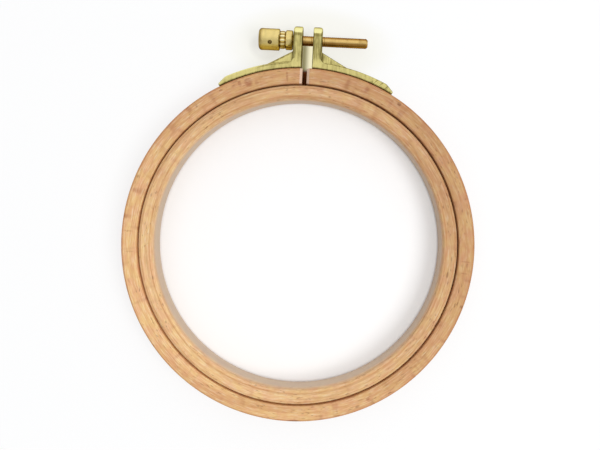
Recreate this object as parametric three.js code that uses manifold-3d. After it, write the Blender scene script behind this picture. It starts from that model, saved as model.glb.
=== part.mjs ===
// Embroidery hoop, lying flat: a split outer ring of bent beech, a plain inner ring that fits inside it,
// and two brass brackets that a thumbscrew draws together across the split.
// Millimetres, +Z up, +Y from the ring's centre towards the split, +X from the knob towards the screw's tip.

import * as THREE from 'three';
import { mergeVertices } from 'three/addons/utils/BufferGeometryUtils.js';
import Module from 'manifold-3d';

const wasm = await Module();
wasm.setup();

// Rings
const ringDepth = 10;
const innerRingOuterRadius = 50.8;
const innerRingWall = 4.45;
const ringGap = 0.6;
const outerRingWall = 5.1;
const outerRingOuterRound = 1.1;
const outerRingInnerRound = 0.35;
const innerRingBevelWidth = 0.75;
const innerRingBevelDepth = 0.35;
const innerRingInnerRound = 0.75;

// Split in the outer ring, a little to the left of the middle between the lugs
const splitPlace = -0.5;
const splitWidth = 1.4;
const splitChamfer = 0.8;

// Brackets: lengths along the ring are measured on the strap's seat, from the middle of the split
const bracketWidth = 9;
const strapThickness = 1.9;
const strapLength = 28.9;
const strapTaperLength = 3;
const strapTipThickness = 0.7;
const lugGap = 3.4;
const lugThickness = 3;
const lugChamfer = 0.25;
const screwHeight = 9.65;
const webThickness = 5;
const webHeight = 5.7;
const webFootDistance = 14;
const rootFillet = 1;

// Nails through each strap into the wood: their places are shares of its stretch from the web's foot to the taper
const nailShares = { near: 0.31, far: 0.8 };
const nailShankRadius = 0.6;
const nailShankLength = 4.6;
const nailPointLength = 1;
const nailHeadRadius = 1.2;
const nailHeadHeight = 0.6;

// Thumbscrew: a threaded rod with a turned knob pinned on its left end
const rodRadius = 1.6;
const rodReach = 14.65;
const rodTipChamfer = 0.5;
const barrelRadius = 3.5;
const barrelLength = 6.75;
const barrelRound = 1;
const waistRadius = 2.85;
const waistLength = 1.85;
const collarRadius = 3.15;
const collarLength = 2.4;
const knobChamfer = 0.3;
const knobEndWall = 1.3;
const pinRadius = 0.5;
const pinRecess = 0.4;
const pinDistance = 3;
const pinTurn = THREE.MathUtils.degToRad(28);

// Clearances
const strapSeatGap = 0.25;
const nailGap = 0.15;
const nailSeatGap = 0.12;
const freeHoleGap = 0.35;
const tappedHoleGap = 0.3;
const knobGap = 0.3;
const knobBoreGap = 0.12;
const pinGap = 0.12;

// Fineness of round shapes, and how far a cutter runs past what it cuts
const ringSegments = 96;
const turnedSegments = 36;
const nailSegments = 14;
const pinSegments = 16;
const roundSegments = 4;
const arcSegments = 10;
const lugEndSegments = 20;
const overcut = 1;
const embed = 0.5;
const mergeTolerance = 1e-5;

// Places that follow from the sizes
const innerRingInnerRadius = innerRingOuterRadius - innerRingWall;
const outerRingInnerRadius = innerRingOuterRadius + ringGap;
const outerRingOuterRadius = outerRingInnerRadius + outerRingWall;
const seatRadius = outerRingOuterRadius + strapSeatGap;
const strapOuterRadius = seatRadius + strapThickness;
const middleHeight = ringDepth / 2;
const screwAxisY = outerRingOuterRadius + screwHeight;
const taperDistance = strapLength - strapTaperLength;
const lugEndRadius = bracketWidth / 2;
const lugTopY = screwAxisY + lugEndRadius;
const lugInnerX = lugGap / 2;
const lugOuterX = lugInnerX + lugThickness;
const knobEndX = -lugOuterX - knobGap;
const barrelEndX = knobEndX - collarLength - waistLength;
const knobStartX = barrelEndX - barrelLength;
const rodStartX = knobStartX + knobEndWall;
const rodEndX = lugOuterX + rodReach;
const pinX = barrelEndX - pinDistance;
const ringCentreY = (outerRingOuterRadius - lugTopY) / 2;

const beech = new THREE.MeshStandardMaterial({ color: 0xdcae80, roughness: 0.62, metalness: 0 });
const paleBeech = new THREE.MeshStandardMaterial({ color: 0xe3b98c, roughness: 0.6, metalness: 0 });
const bracketBrass = new THREE.MeshStandardMaterial({ color: 0xc2b56a, roughness: 0.38, metalness: 1 });
const nailBrass = new THREE.MeshStandardMaterial({ color: 0xc9ae5c, roughness: 0.3, metalness: 1 });
const screwBrass = new THREE.MeshStandardMaterial({ color: 0xd2a048, roughness: 0.28, metalness: 1 });
const pinBrass = new THREE.MeshStandardMaterial({ color: 0x6f5a2a, roughness: 0.45, metalness: 1 });

// A closed solid from a geometry: its shared corners are merged and its empty triangles dropped.
function toSolid(geometry) {
  const bare = geometry.clone();
  bare.deleteAttribute('normal');
  bare.deleteAttribute('uv');
  const merged = mergeVertices(bare, mergeTolerance);
  const corners = merged.index.array;
  const triangles = [];
  for (let i = 0; i < corners.length; i += 3) {
    const [a, b, c] = [corners[i], corners[i + 1], corners[i + 2]];
    if (a !== b && b !== c && c !== a) {
      triangles.push(a, b, c);
    }
  }
  return new wasm.Manifold(new wasm.Mesh({
    numProp: 3,
    vertProperties: new Float32Array(merged.attributes.position.array),
    triVerts: new Uint32Array(triangles),
  }));
}

function toGeometry(solid) {
  const mesh = solid.getMesh();
  const geometry = new THREE.BufferGeometry();
  geometry.setAttribute('position', new THREE.BufferAttribute(mesh.vertProperties, 3));
  geometry.setIndex(new THREE.BufferAttribute(mesh.triVerts, 1));
  geometry.computeVertexNormals();
  return geometry;
}

// Points of a quarter round about (x, y), from angle start to angle end.
function roundCorner(x, y, radius, start, end) {
  const points = [];
  for (let i = 0; i <= roundSegments; i += 1) {
    const angle = start + (end - start) * i / roundSegments;
    points.push(new THREE.Vector2(x + radius * Math.cos(angle), y + radius * Math.sin(angle)));
  }
  return points;
}

// A ring about Z from a closed section, whose x is the radius and y the height.
function ringGeometry(section) {
  const closed = [...section, section[0].clone()];
  return new THREE.LatheGeometry(closed, ringSegments).rotateX(Math.PI / 2);
}

// A turned piece about X from a profile that starts and ends on the axis: x is the radius, y the place along X.
function turnedGeometry(profile) {
  const points = profile.map(([radius, place]) => new THREE.Vector2(radius, place));
  return new THREE.LatheGeometry(points, turnedSegments).rotateZ(-Math.PI / 2);
}

// A shape drawn in Y and Z, extruded along +X from X = 0.
function extrudeAlongX(shape, options) {
  const toX = new THREE.Matrix4().makeBasis(
    new THREE.Vector3(0, 1, 0),
    new THREE.Vector3(0, 0, 1),
    new THREE.Vector3(1, 0, 0),
  );
  return new THREE.ExtrudeGeometry(shape, options).applyMatrix4(toX);
}

// The place of a nail on the ring's edge, its own +Y pointing outwards.
function nailPlace(side, share, radius) {
  const distance = webFootDistance + share * (taperDistance - webFootDistance);
  const angle = side * distance / seatRadius;
  const place = new THREE.Matrix4().makeRotationZ(-angle);
  place.setPosition(radius * Math.sin(angle), radius * Math.cos(angle), middleHeight);
  return place;
}

function nailHoles(side) {
  const depth = nailShankLength + nailPointLength + strapThickness;
  const holes = [];
  for (const share of Object.values(nailShares)) {
    const hole = new THREE.CylinderGeometry(
      nailShankRadius + nailGap,
      nailShankRadius + nailGap,
      depth,
      nailSegments,
    );
    hole.translate(0, strapThickness + nailGap - depth / 2, 0);
    hole.applyMatrix4(nailPlace(side, share, seatRadius + nailSeatGap));
    holes.push(toSolid(hole));
  }
  return holes;
}

// The outer ring: rounded on its outside, eased on its inside, sawn through at the split.
function outerRingGeometry() {
  const big = outerRingOuterRound;
  const small = outerRingInnerRound;
  const section = [
    ...roundCorner(outerRingOuterRadius - big, big, big, -Math.PI / 2, 0),
    ...roundCorner(outerRingOuterRadius - big, ringDepth - big, big, 0, Math.PI / 2),
    new THREE.Vector2(outerRingInnerRadius + small, ringDepth),
    new THREE.Vector2(outerRingInnerRadius, ringDepth - small),
    new THREE.Vector2(outerRingInnerRadius, small),
    new THREE.Vector2(outerRingInnerRadius + small, 0),
  ];
  let ring = toSolid(ringGeometry(section)).subtract(toSolid(splitGeometry()));
  for (const side of [-1, 1]) {
    for (const hole of nailHoles(side)) {
      ring = ring.subtract(hole);
    }
  }
  return toGeometry(ring);
}

// What the saw and the chamfers take out at the split.
function splitGeometry() {
  const half = splitWidth / 2;
  const flare = half + splitChamfer + overcut;
  const shape = new THREE.Shape([
    new THREE.Vector2(-flare, ringDepth + overcut),
    new THREE.Vector2(-half, ringDepth - splitChamfer),
    new THREE.Vector2(-half, splitChamfer),
    new THREE.Vector2(-flare, -overcut),
    new THREE.Vector2(flare, -overcut),
    new THREE.Vector2(half, splitChamfer),
    new THREE.Vector2(half, ringDepth - splitChamfer),
    new THREE.Vector2(flare, ringDepth + overcut),
  ]);
  const depth = outerRingWall + 2 * overcut;
  const cut = new THREE.ExtrudeGeometry(shape, { depth, bevelEnabled: false });
  return cut.rotateX(Math.PI / 2).translate(splitPlace, outerRingOuterRadius + overcut, 0);
}

// The inner ring: bevelled on its outside, so that cloth slides over it, and rounded on its inside.
function innerRingGeometry() {
  const bevelRadius = innerRingOuterRadius - innerRingBevelWidth;
  const round = innerRingInnerRound;
  const section = [
    new THREE.Vector2(bevelRadius, 0),
    new THREE.Vector2(innerRingOuterRadius, innerRingBevelDepth),
    new THREE.Vector2(innerRingOuterRadius, ringDepth - innerRingBevelDepth),
    new THREE.Vector2(bevelRadius, ringDepth),
    ...roundCorner(innerRingInnerRadius + round, ringDepth - round, round, Math.PI / 2, Math.PI),
    ...roundCorner(innerRingInnerRadius + round, round, round, Math.PI, 1.5 * Math.PI),
  ];
  return toGeometry(toSolid(ringGeometry(section)));
}

// The strap of the right bracket: it follows the ring, and thins to a tip.
function strapGeometry() {
  const tipAngle = Math.PI / 2 - strapLength / seatRadius;
  const taperAngle = Math.PI / 2 - taperDistance / seatRadius;
  const tipRadius = seatRadius + strapTipThickness;
  const rootX = lugInnerX + embed;
  const rootAngle = Math.acos(rootX / strapOuterRadius);
  const shape = new THREE.Shape();
  shape.moveTo(rootX, seatRadius - overcut);
  shape.lineTo(rootX, strapOuterRadius * Math.sin(rootAngle));
  shape.absarc(0, 0, strapOuterRadius, rootAngle, taperAngle, true);
  shape.lineTo(tipRadius * Math.cos(tipAngle), tipRadius * Math.sin(tipAngle));
  shape.absarc(0, 0, seatRadius - overcut, tipAngle, Math.PI / 2 - embed / seatRadius, false);
  return new THREE.ExtrudeGeometry(shape, {
    depth: bracketWidth,
    bevelEnabled: false,
    curveSegments: arcSegments,
  }).translate(0, 0, middleHeight - bracketWidth / 2);
}

// The small round in the corner between strap and lug.
function rootFilletGeometry() {
  const centreX = lugOuterX + rootFillet;
  const floorY = Math.sqrt(strapOuterRadius ** 2 - centreX ** 2);
  const shape = new THREE.Shape();
  shape.moveTo(lugOuterX - embed, floorY - embed);
  shape.lineTo(lugOuterX - embed, floorY + rootFillet);
  shape.lineTo(lugOuterX, floorY + rootFillet);
  shape.absarc(centreX, floorY + rootFillet, rootFillet, Math.PI, 1.5 * Math.PI, false);
  shape.lineTo(centreX, floorY - embed);
  return new THREE.ExtrudeGeometry(shape, {
    depth: bracketWidth,
    bevelEnabled: false,
    curveSegments: roundSegments,
  }).translate(0, 0, middleHeight - bracketWidth / 2);
}

// The upright lug, with a round end about the screw and the hole that the screw passes through.
function lugGeometry(holeRadius) {
  const shape = new THREE.Shape();
  shape.moveTo(seatRadius - overcut, middleHeight - lugEndRadius);
  shape.lineTo(screwAxisY, middleHeight - lugEndRadius);
  shape.absarc(screwAxisY, middleHeight, lugEndRadius, -Math.PI / 2, Math.PI / 2, false);
  shape.lineTo(seatRadius - overcut, middleHeight + lugEndRadius);
  const hole = new THREE.Path();
  hole.absarc(screwAxisY, middleHeight, holeRadius, 0, 2 * Math.PI, false);
  shape.holes.push(hole);
  return extrudeAlongX(shape, {
    depth: lugThickness - 2 * lugChamfer,
    bevelThickness: lugChamfer,
    bevelSize: lugChamfer,
    bevelOffset: -lugChamfer,
    bevelSegments: 1,
    curveSegments: lugEndSegments,
  }).translate(lugInnerX + lugChamfer, 0, 0);
}

// The triangular web that braces the lug against the strap, thinner than both.
function webGeometry() {
  const footAngle = Math.PI / 2 - webFootDistance / seatRadius;
  const shape = new THREE.Shape([
    new THREE.Vector2(lugOuterX - embed, seatRadius - overcut),
    new THREE.Vector2(lugOuterX - embed, outerRingOuterRadius + webHeight),
    new THREE.Vector2(lugOuterX, outerRingOuterRadius + webHeight),
    new THREE.Vector2(strapOuterRadius * Math.cos(footAngle), strapOuterRadius * Math.sin(footAngle)),
    new THREE.Vector2(seatRadius * Math.cos(footAngle), seatRadius * Math.sin(footAngle) - overcut),
  ]);
  return new THREE.ExtrudeGeometry(shape, { depth: webThickness, bevelEnabled: false })
    .translate(0, 0, middleHeight - webThickness / 2);
}

// The ring's outer edge with the strap's clearance, as the cutter that shapes a bracket's seat.
function seatGeometry() {
  return new THREE.CylinderGeometry(seatRadius, seatRadius, ringDepth + 2 * overcut, ringSegments)
    .rotateX(Math.PI / 2)
    .translate(0, 0, middleHeight);
}

// The same geometry on the other side of the split, its faces still pointing out.
function mirrorAcrossSplit(geometry) {
  const mirrored = geometry.clone().scale(-1, 1, 1);
  const corners = mirrored.index.array;
  for (let i = 0; i < corners.length; i += 3) {
    [corners[i + 1], corners[i + 2]] = [corners[i + 2], corners[i + 1]];
  }
  mirrored.computeVertexNormals();
  return mirrored;
}

// One bracket: strap, lug and web in one casting, bored for the screw and drilled for its nails.
function bracketGeometry(side, holeRadius) {
  let bracket = toSolid(strapGeometry())
    .add(toSolid(rootFilletGeometry()))
    .add(toSolid(webGeometry()))
    .add(toSolid(lugGeometry(holeRadius)))
    .subtract(toSolid(seatGeometry()));
  for (const hole of nailHoles(1)) {
    bracket = bracket.subtract(hole);
  }
  const geometry = toGeometry(bracket);
  return side > 0 ? geometry : mirrorAcrossSplit(geometry);
}

// A round-headed nail along +Y, its head's underside at Y = 0.
function nailGeometry() {
  const points = [
    new THREE.Vector2(0, -nailShankLength - nailPointLength),
    new THREE.Vector2(nailShankRadius, -nailShankLength),
    new THREE.Vector2(nailShankRadius, 0),
    new THREE.Vector2(nailHeadRadius, 0),
  ];
  for (let i = 1; i <= roundSegments; i += 1) {
    const angle = Math.PI / 2 * i / roundSegments;
    const radius = i === roundSegments ? 0 : nailHeadRadius * Math.cos(angle);
    points.push(new THREE.Vector2(radius, nailHeadHeight * Math.sin(angle)));
  }
  return toGeometry(toSolid(new THREE.LatheGeometry(points, nailSegments)));
}

// The hole across knob and rod that the pin sits in.
function crossHoleGeometry() {
  const length = 2 * (barrelRadius + overcut);
  return new THREE.CylinderGeometry(pinRadius + pinGap, pinRadius + pinGap, length, pinSegments)
    .rotateX(Math.PI / 2 + pinTurn)
    .translate(pinX, 0, 0);
}

function rodGeometry() {
  const rod = turnedGeometry([
    [0, rodStartX],
    [rodRadius, rodStartX],
    [rodRadius, rodEndX - rodTipChamfer],
    [rodRadius - rodTipChamfer, rodEndX],
    [0, rodEndX],
  ]);
  return toGeometry(toSolid(rod).subtract(toSolid(crossHoleGeometry())));
}

// The knob: a barrel to grip, a waist and a collar that bears on the left lug, bored from the collar's side.
function knobGeometry() {
  const boreRadius = rodRadius + knobBoreGap;
  const collarStartX = knobEndX - collarLength;
  const frontRound = [];
  for (let i = 0; i <= roundSegments; i += 1) {
    const angle = Math.PI / 2 * i / roundSegments;
    frontRound.push([
      barrelRadius - barrelRound * (1 - Math.sin(angle)),
      knobStartX + barrelRound * (1 - Math.cos(angle)),
    ]);
  }
  const knob = turnedGeometry([
    [0, knobStartX],
    ...frontRound,
    [barrelRadius, barrelEndX - knobChamfer],
    [barrelRadius - knobChamfer, barrelEndX],
    [waistRadius, barrelEndX],
    [waistRadius, collarStartX],
    [collarRadius - knobChamfer, collarStartX],
    [collarRadius, collarStartX + knobChamfer],
    [collarRadius, knobEndX - knobChamfer],
    [collarRadius - knobChamfer, knobEndX],
    [boreRadius, knobEndX],
    [boreRadius, rodStartX - knobBoreGap],
    [0, rodStartX - knobBoreGap],
  ]);
  return toGeometry(toSolid(knob).subtract(toSolid(crossHoleGeometry())));
}

function pinGeometry() {
  const length = 2 * (barrelRadius - pinRecess);
  return new THREE.CylinderGeometry(pinRadius, pinRadius, length, pinSegments).rotateX(Math.PI / 2 + pinTurn);
}

function addMesh(group, name, geometry, material) {
  const mesh = new THREE.Mesh(geometry, material);
  mesh.name = name;
  group.add(mesh);
  return mesh;
}

function addNails(group, sideName, side) {
  for (const [place, share] of Object.entries(nailShares)) {
    const nail = addMesh(group, `${sideName}_nail_${place}`, nailGeometry(), nailBrass);
    nail.applyMatrix4(nailPlace(side, share, strapOuterRadius + nailSeatGap));
  }
}

function thumbscrew() {
  const screw = new THREE.Group();
  addMesh(screw, 'screw_rod', rodGeometry(), screwBrass);
  addMesh(screw, 'screw_knob', knobGeometry(), screwBrass);
  addMesh(screw, 'knob_pin', pinGeometry(), pinBrass).position.x = pinX;
  screw.position.set(0, screwAxisY, middleHeight);
  return screw;
}

function embroideryHoop() {
  const hoop = new THREE.Group();
  addMesh(hoop, 'outer_ring', outerRingGeometry(), beech);
  addMesh(hoop, 'inner_ring', innerRingGeometry(), paleBeech);
  addMesh(hoop, 'left_bracket', bracketGeometry(-1, rodRadius + freeHoleGap), bracketBrass);
  addMesh(hoop, 'right_bracket', bracketGeometry(1, rodRadius + tappedHoleGap), bracketBrass);
  addNails(hoop, 'left', -1);
  addNails(hoop, 'right', 1);
  hoop.add(thumbscrew());
  hoop.position.y = ringCentreY;
  return hoop;
}

export default embroideryHoop();
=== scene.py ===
"""Embroidery hoop of bent beech, drawn shut by a brass thumbscrew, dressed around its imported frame.

Shapes are modelled in millimetres about the rings' centre, with the table at height 0, and are brought to
the frame's metres as each piece is finished. Angles along the rings are measured from the split, clockwise
from above.
"""

import logging
import math
from dataclasses import dataclass, field
from enum import Enum
from typing import Callable, Dict, Iterable, List, NamedTuple, Optional, Sequence, Tuple, Union

import bmesh
import bpy
from mathutils import Matrix, Vector

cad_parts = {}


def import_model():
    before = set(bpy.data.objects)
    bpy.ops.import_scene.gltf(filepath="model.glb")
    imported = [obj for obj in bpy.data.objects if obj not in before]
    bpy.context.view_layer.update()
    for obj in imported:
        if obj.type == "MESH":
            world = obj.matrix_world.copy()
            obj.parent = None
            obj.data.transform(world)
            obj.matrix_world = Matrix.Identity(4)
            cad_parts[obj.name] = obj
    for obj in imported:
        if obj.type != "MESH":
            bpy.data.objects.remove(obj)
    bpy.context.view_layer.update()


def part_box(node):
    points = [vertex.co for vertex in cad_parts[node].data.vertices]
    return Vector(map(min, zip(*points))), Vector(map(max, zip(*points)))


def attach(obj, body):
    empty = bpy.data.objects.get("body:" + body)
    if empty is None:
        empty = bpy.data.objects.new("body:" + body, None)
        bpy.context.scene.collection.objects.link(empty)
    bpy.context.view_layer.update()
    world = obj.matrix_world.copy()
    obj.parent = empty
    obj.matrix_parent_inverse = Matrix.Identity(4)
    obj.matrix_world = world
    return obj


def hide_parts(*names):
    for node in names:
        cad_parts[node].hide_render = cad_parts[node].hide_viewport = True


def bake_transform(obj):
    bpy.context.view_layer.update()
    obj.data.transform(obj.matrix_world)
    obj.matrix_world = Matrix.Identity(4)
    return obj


log = logging.getLogger("hoop")

MM = 0.001
TURN = 2.0 * math.pi
INNER_WALL = 4.45  # the inner ring's wall, in millimetres
PICTURE_SIZE = (600.0, 450.0)  # the photograph's width and height, in pixels
WELD = 0.0005  # points nearer to each other than this become one, in millimetres
SPECK = 0.0001  # edges shorter than this are dissolved, in millimetres
TOLERANCE = 1e-4  # how exactly a point has to lie on a plane, in millimetres
NOISE_ROUGHNESS = 0.55  # how strongly the finer layers of all noise show

# The numbers of a Mix node's colour sockets, which share their names with others.
MIX_FIRST = 6
MIX_SECOND = 7
MIX_RESULT = 2

Colour = Tuple[float, float, float]
Point = Tuple[float, float]
Socket = bpy.types.NodeSocket

BLACK: Colour = (0.0, 0.0, 0.0)
WHITE: Colour = (1.0, 1.0, 1.0)

ALONG_X = Vector((1.0, 0.0, 0.0))
ALONG_Y = Vector((0.0, 1.0, 0.0))
UPWARDS = Vector((0.0, 0.0, 1.0))


class Ramp(NamedTuple):
    """Two values between which something comes in. The one where it is full may be the lower one.

    Attributes:
        start: where it starts.
        full: where it is full.
    """

    start: float
    full: float

    def share(self, value: float) -> float:
        """How far a value has come from start to full, kept within 0 and 1."""
        return min(1.0, max(0.0, (value - self.start) / (self.full - self.start)))

    def moved(self, offset: float) -> "Ramp":
        """The same ramp, moved by an offset."""
        return Ramp(self.start + offset, self.full + offset)


class Level:
    """A number that varies over a surface. Sums on it add Math nodes to its board."""

    def __init__(self, board: "Board", socket: Socket) -> None:
        """Wraps the socket that gives the number."""
        self.board = board
        self.socket = socket

    def __add__(self, other: "Number") -> "Level":
        """The sum of both."""
        return self.board.math("ADD", self, other)

    def __sub__(self, other: "Number") -> "Level":
        """The difference of both."""
        return self.board.math("SUBTRACT", self, other)

    def __rsub__(self, other: "Number") -> "Level":
        """The difference, with this one taken away."""
        return self.board.math("SUBTRACT", other, self)

    def __mul__(self, other: "Number") -> "Level":
        """The product of both."""
        return self.board.math("MULTIPLY", self, other)

    def __truediv__(self, other: "Number") -> "Level":
        """The quotient of both."""
        return self.board.math("DIVIDE", self, other)

    def __pow__(self, other: "Number") -> "Level":
        """This one raised to a power."""
        return self.board.math("POWER", self, other)

    __radd__ = __add__
    __rmul__ = __mul__

    def step(self, low: float, high: float) -> "Level":
        """A smooth step.

        Args:
            low: where it is 0.
            high: where it is 1, which may be the lower one.

        Returns:
            The step's level.
        """
        settings = {"interpolation_type": "SMOOTHSTEP"}
        sockets = {"Value": self, "From Min": low, "From Max": high}
        node = self.board.node("ShaderNodeMapRange", settings, sockets)
        return Level(self.board, node.outputs["Result"])


Number = Union[Level, float]
Input = Union[Level, Socket, float, Sequence[float]]


class Board:
    """The node tree of one material or world, filled by short calls."""

    def __init__(self, tree: bpy.types.NodeTree) -> None:
        """Empties the tree."""
        self.tree = tree
        tree.nodes.clear()

    def node(self, kind: str, settings: Optional[Dict] = None,
             sockets: Optional[Dict] = None) -> bpy.types.Node:
        """Adds a node.

        Args:
            kind: the node's type.
            settings: its properties, which are set before its sockets.
            sockets: values or links by the socket's name or number.

        Returns:
            The node.
        """
        made = self.tree.nodes.new(kind)
        for name, value in (settings or {}).items():
            setattr(made, name, value)
        for name, value in (sockets or {}).items():
            self._feed(made.inputs[name], value)
        return made

    def _feed(self, socket: Socket, value: Input) -> None:
        """Links or sets one input.

        Args:
            socket: the input.
            value: what it gets: a level or socket to link, or a value.
        """
        if isinstance(value, Level):
            self.tree.links.new(value.socket, socket)
        elif isinstance(value, bpy.types.NodeSocket):
            self.tree.links.new(value, socket)
        elif socket.type == "RGBA" and len(value) == 3:
            socket.default_value = (*value, 1.0)
        else:
            socket.default_value = value

    def math(self, operation: str, first: Number, second: Number = 0.0) -> Level:
        """A Math node on two numbers."""
        node = self.node("ShaderNodeMath", {"operation": operation}, {0: first, 1: second})
        return Level(self, node.outputs[0])

    def mix(self, factor: Number, first: Input, second: Input, kind: str = "MIX") -> Socket:
        """A colour between two others.

        Args:
            factor: 0 gives the first, 1 the second.
            first: a colour or its socket.
            second: a colour or its socket.
            kind: how the second is laid over the first.

        Returns:
            The mixed colour's socket.
        """
        settings = {"data_type": "RGBA", "blend_type": kind, "clamp_factor": True}
        node = self.node("ShaderNodeMix", settings, {0: factor, MIX_FIRST: first, MIX_SECOND: second})
        return node.outputs[MIX_RESULT]

    def noise(self, vector: Input, scale: float, detail: float, along: Optional[Number] = None) -> Level:
        """Smooth noise around 0.5.

        Args:
            vector: where it is read.
            scale: how fine it is.
            detail: how many finer layers it has.
            along: a fourth coordinate, if there is one.

        Returns:
            The noise's level.
        """
        sockets: Dict[str, Input] = {
            "Vector": vector, "Scale": scale, "Detail": detail, "Roughness": NOISE_ROUGHNESS,
        }
        if along is None:
            node = self.node("ShaderNodeTexNoise", {"noise_dimensions": "3D"}, sockets)
        else:
            node = self.node("ShaderNodeTexNoise", {"noise_dimensions": "4D"}, {**sockets, "W": along})
        return Level(self, node.outputs[0])

    def split(self, vector: Socket) -> Tuple[Level, Level, Level]:
        """The three numbers of a vector."""
        parts = self.node("ShaderNodeSeparateXYZ", None, {0: vector}).outputs
        return Level(self, parts[0]), Level(self, parts[1]), Level(self, parts[2])

    def place(self) -> Tuple[Level, Level, Level]:
        """The surface's place in the piece's own frame, in metres."""
        return self.split(self.node("ShaderNodeTexCoord").outputs["Object"])

    def vector(self, x: Number, y: Number, z: Number) -> Socket:
        """A vector of three numbers."""
        return self.node("ShaderNodeCombineXYZ", None, {0: x, 1: y, 2: z}).outputs[0]

    def attribute(self, name: str) -> Level:
        """A number that the mesh carries at its points."""
        node = self.node("ShaderNodeAttribute", {"attribute_name": name})
        return Level(self, node.outputs["Fac"])

    def bump(self, height: Number, distance: float, strength: float) -> Socket:
        """A normal from a height, in metres."""
        sockets = {"Height": height, "Distance": distance, "Strength": strength}
        return self.node("ShaderNodeBump", None, sockets).outputs["Normal"]

    def surface(self, sockets: Dict[str, Input]) -> None:
        """Ends the tree in one Principled shader."""
        shader = self.node("ShaderNodeBsdfPrincipled", None, sockets)
        self.node("ShaderNodeOutputMaterial", None, {"Surface": shader.outputs[0]})


def new_material(name: str) -> Tuple[bpy.types.Material, Board]:
    """Makes an empty material.

    Args:
        name: the material's name.

    Returns:
        The material and its board.
    """
    material = bpy.data.materials.new(name)
    material.use_nodes = True
    return material, Board(material.node_tree)


@dataclass(frozen=True)
class Mark:
    """A small dark or red mark in the wood.

    Attributes:
        angle: where it is along the ring, in degrees from the split.
        radius: its distance from the rings' centre, in millimetres.
        length: half its length along the ring, in millimetres.
        width: half its width across the ring, in millimetres.
        strength: how strongly it shows, up to 1.
        is_dark: it is a dark fleck, not a red mark.
    """

    angle: float
    radius: float
    length: float
    width: float
    strength: float
    is_dark: bool = True


@dataclass(frozen=True)
class Layer:
    """One layer of grain: noise whose spots run round the ring.

    Attributes:
        length: how long its spots are round the ring, in millimetres.
        width: how wide they are across it, in millimetres.
        detail: how many finer layers it has.
        shift: sets it apart from the other layers.
    """

    length: float
    width: float
    detail: float
    shift: float


@dataclass(frozen=True)
class BeechGrain:
    """The layers of beech grain. A ramp gives the levels of a layer's noise between which it shows."""

    radius: float = 54.0  # where the layers have their lengths, in millimetres
    blotches: Layer = Layer(3.6, 2.4, 3.0, 3.0)
    broad: Layer = Layer(38.0, 2.6, 3.0, 0.0)
    lines: Layer = Layer(48.0, 0.8, 2.0, 11.0)
    fibres: Layer = Layer(3.2, 0.34, 2.0, 23.0)
    spindles: Layer = Layer(1.9, 0.42, 1.0, 37.0)  # short spindles, which show as flecks
    patches: Layer = Layer(7.0, 2.4, 1.0, 41.0)  # the patches that flecks and rays stand in
    cross: Layer = Layer(2.6, 8.0, 1.0, 53.0)  # bars across the grain, which show as rays
    blotch_shows: Ramp = Ramp(0.36, 0.64)
    broad_shows: Ramp = Ramp(0.4, 0.75)
    broad_strength: float = 0.6
    line_shows: Ramp = Ramp(0.48, 0.68)
    ray_shows: Ramp = Ramp(0.5, 0.78)
    ray_patches: Ramp = Ramp(0.3, 0.6)
    fleck_shows: Ramp = Ramp(0.6, 0.7)
    fleck_patches: Ramp = Ramp(0.62, 0.4)
    dark_fibres: Ramp = Ramp(0.35, 0.72)
    dark_strength: float = 0.34
    pale_fibres: Ramp = Ramp(0.48, 0.24)
    pale_strength: float = 0.3
    gleam: Colour = (1.0, 0.86, 0.62)  # what pale fibres brighten the wood with
    mark_fibres: Ramp = Ramp(0.28, 0.6)
    mark_floor: float = 0.3  # how much of a mark shows between the fibres
    foot_shade_floor: float = 0.6  # the same for the painted shade at the inner wall's foot
    sawn_lines: Point = (0.55, 0.5)  # how much of the sawn colour shows, and how much more on the lines
    relief: Tuple[float, float, float] = (0.7, 0.6, 0.6)  # fibres' and lines' height and flecks' depth
    depth: float = 0.00012  # the relief's depth, in metres
    relief_strength: float = 0.4
    roughness: Point = (0.5, 0.14)  # the wood's, and what its fibres add
    gloss: float = 0.3


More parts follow.
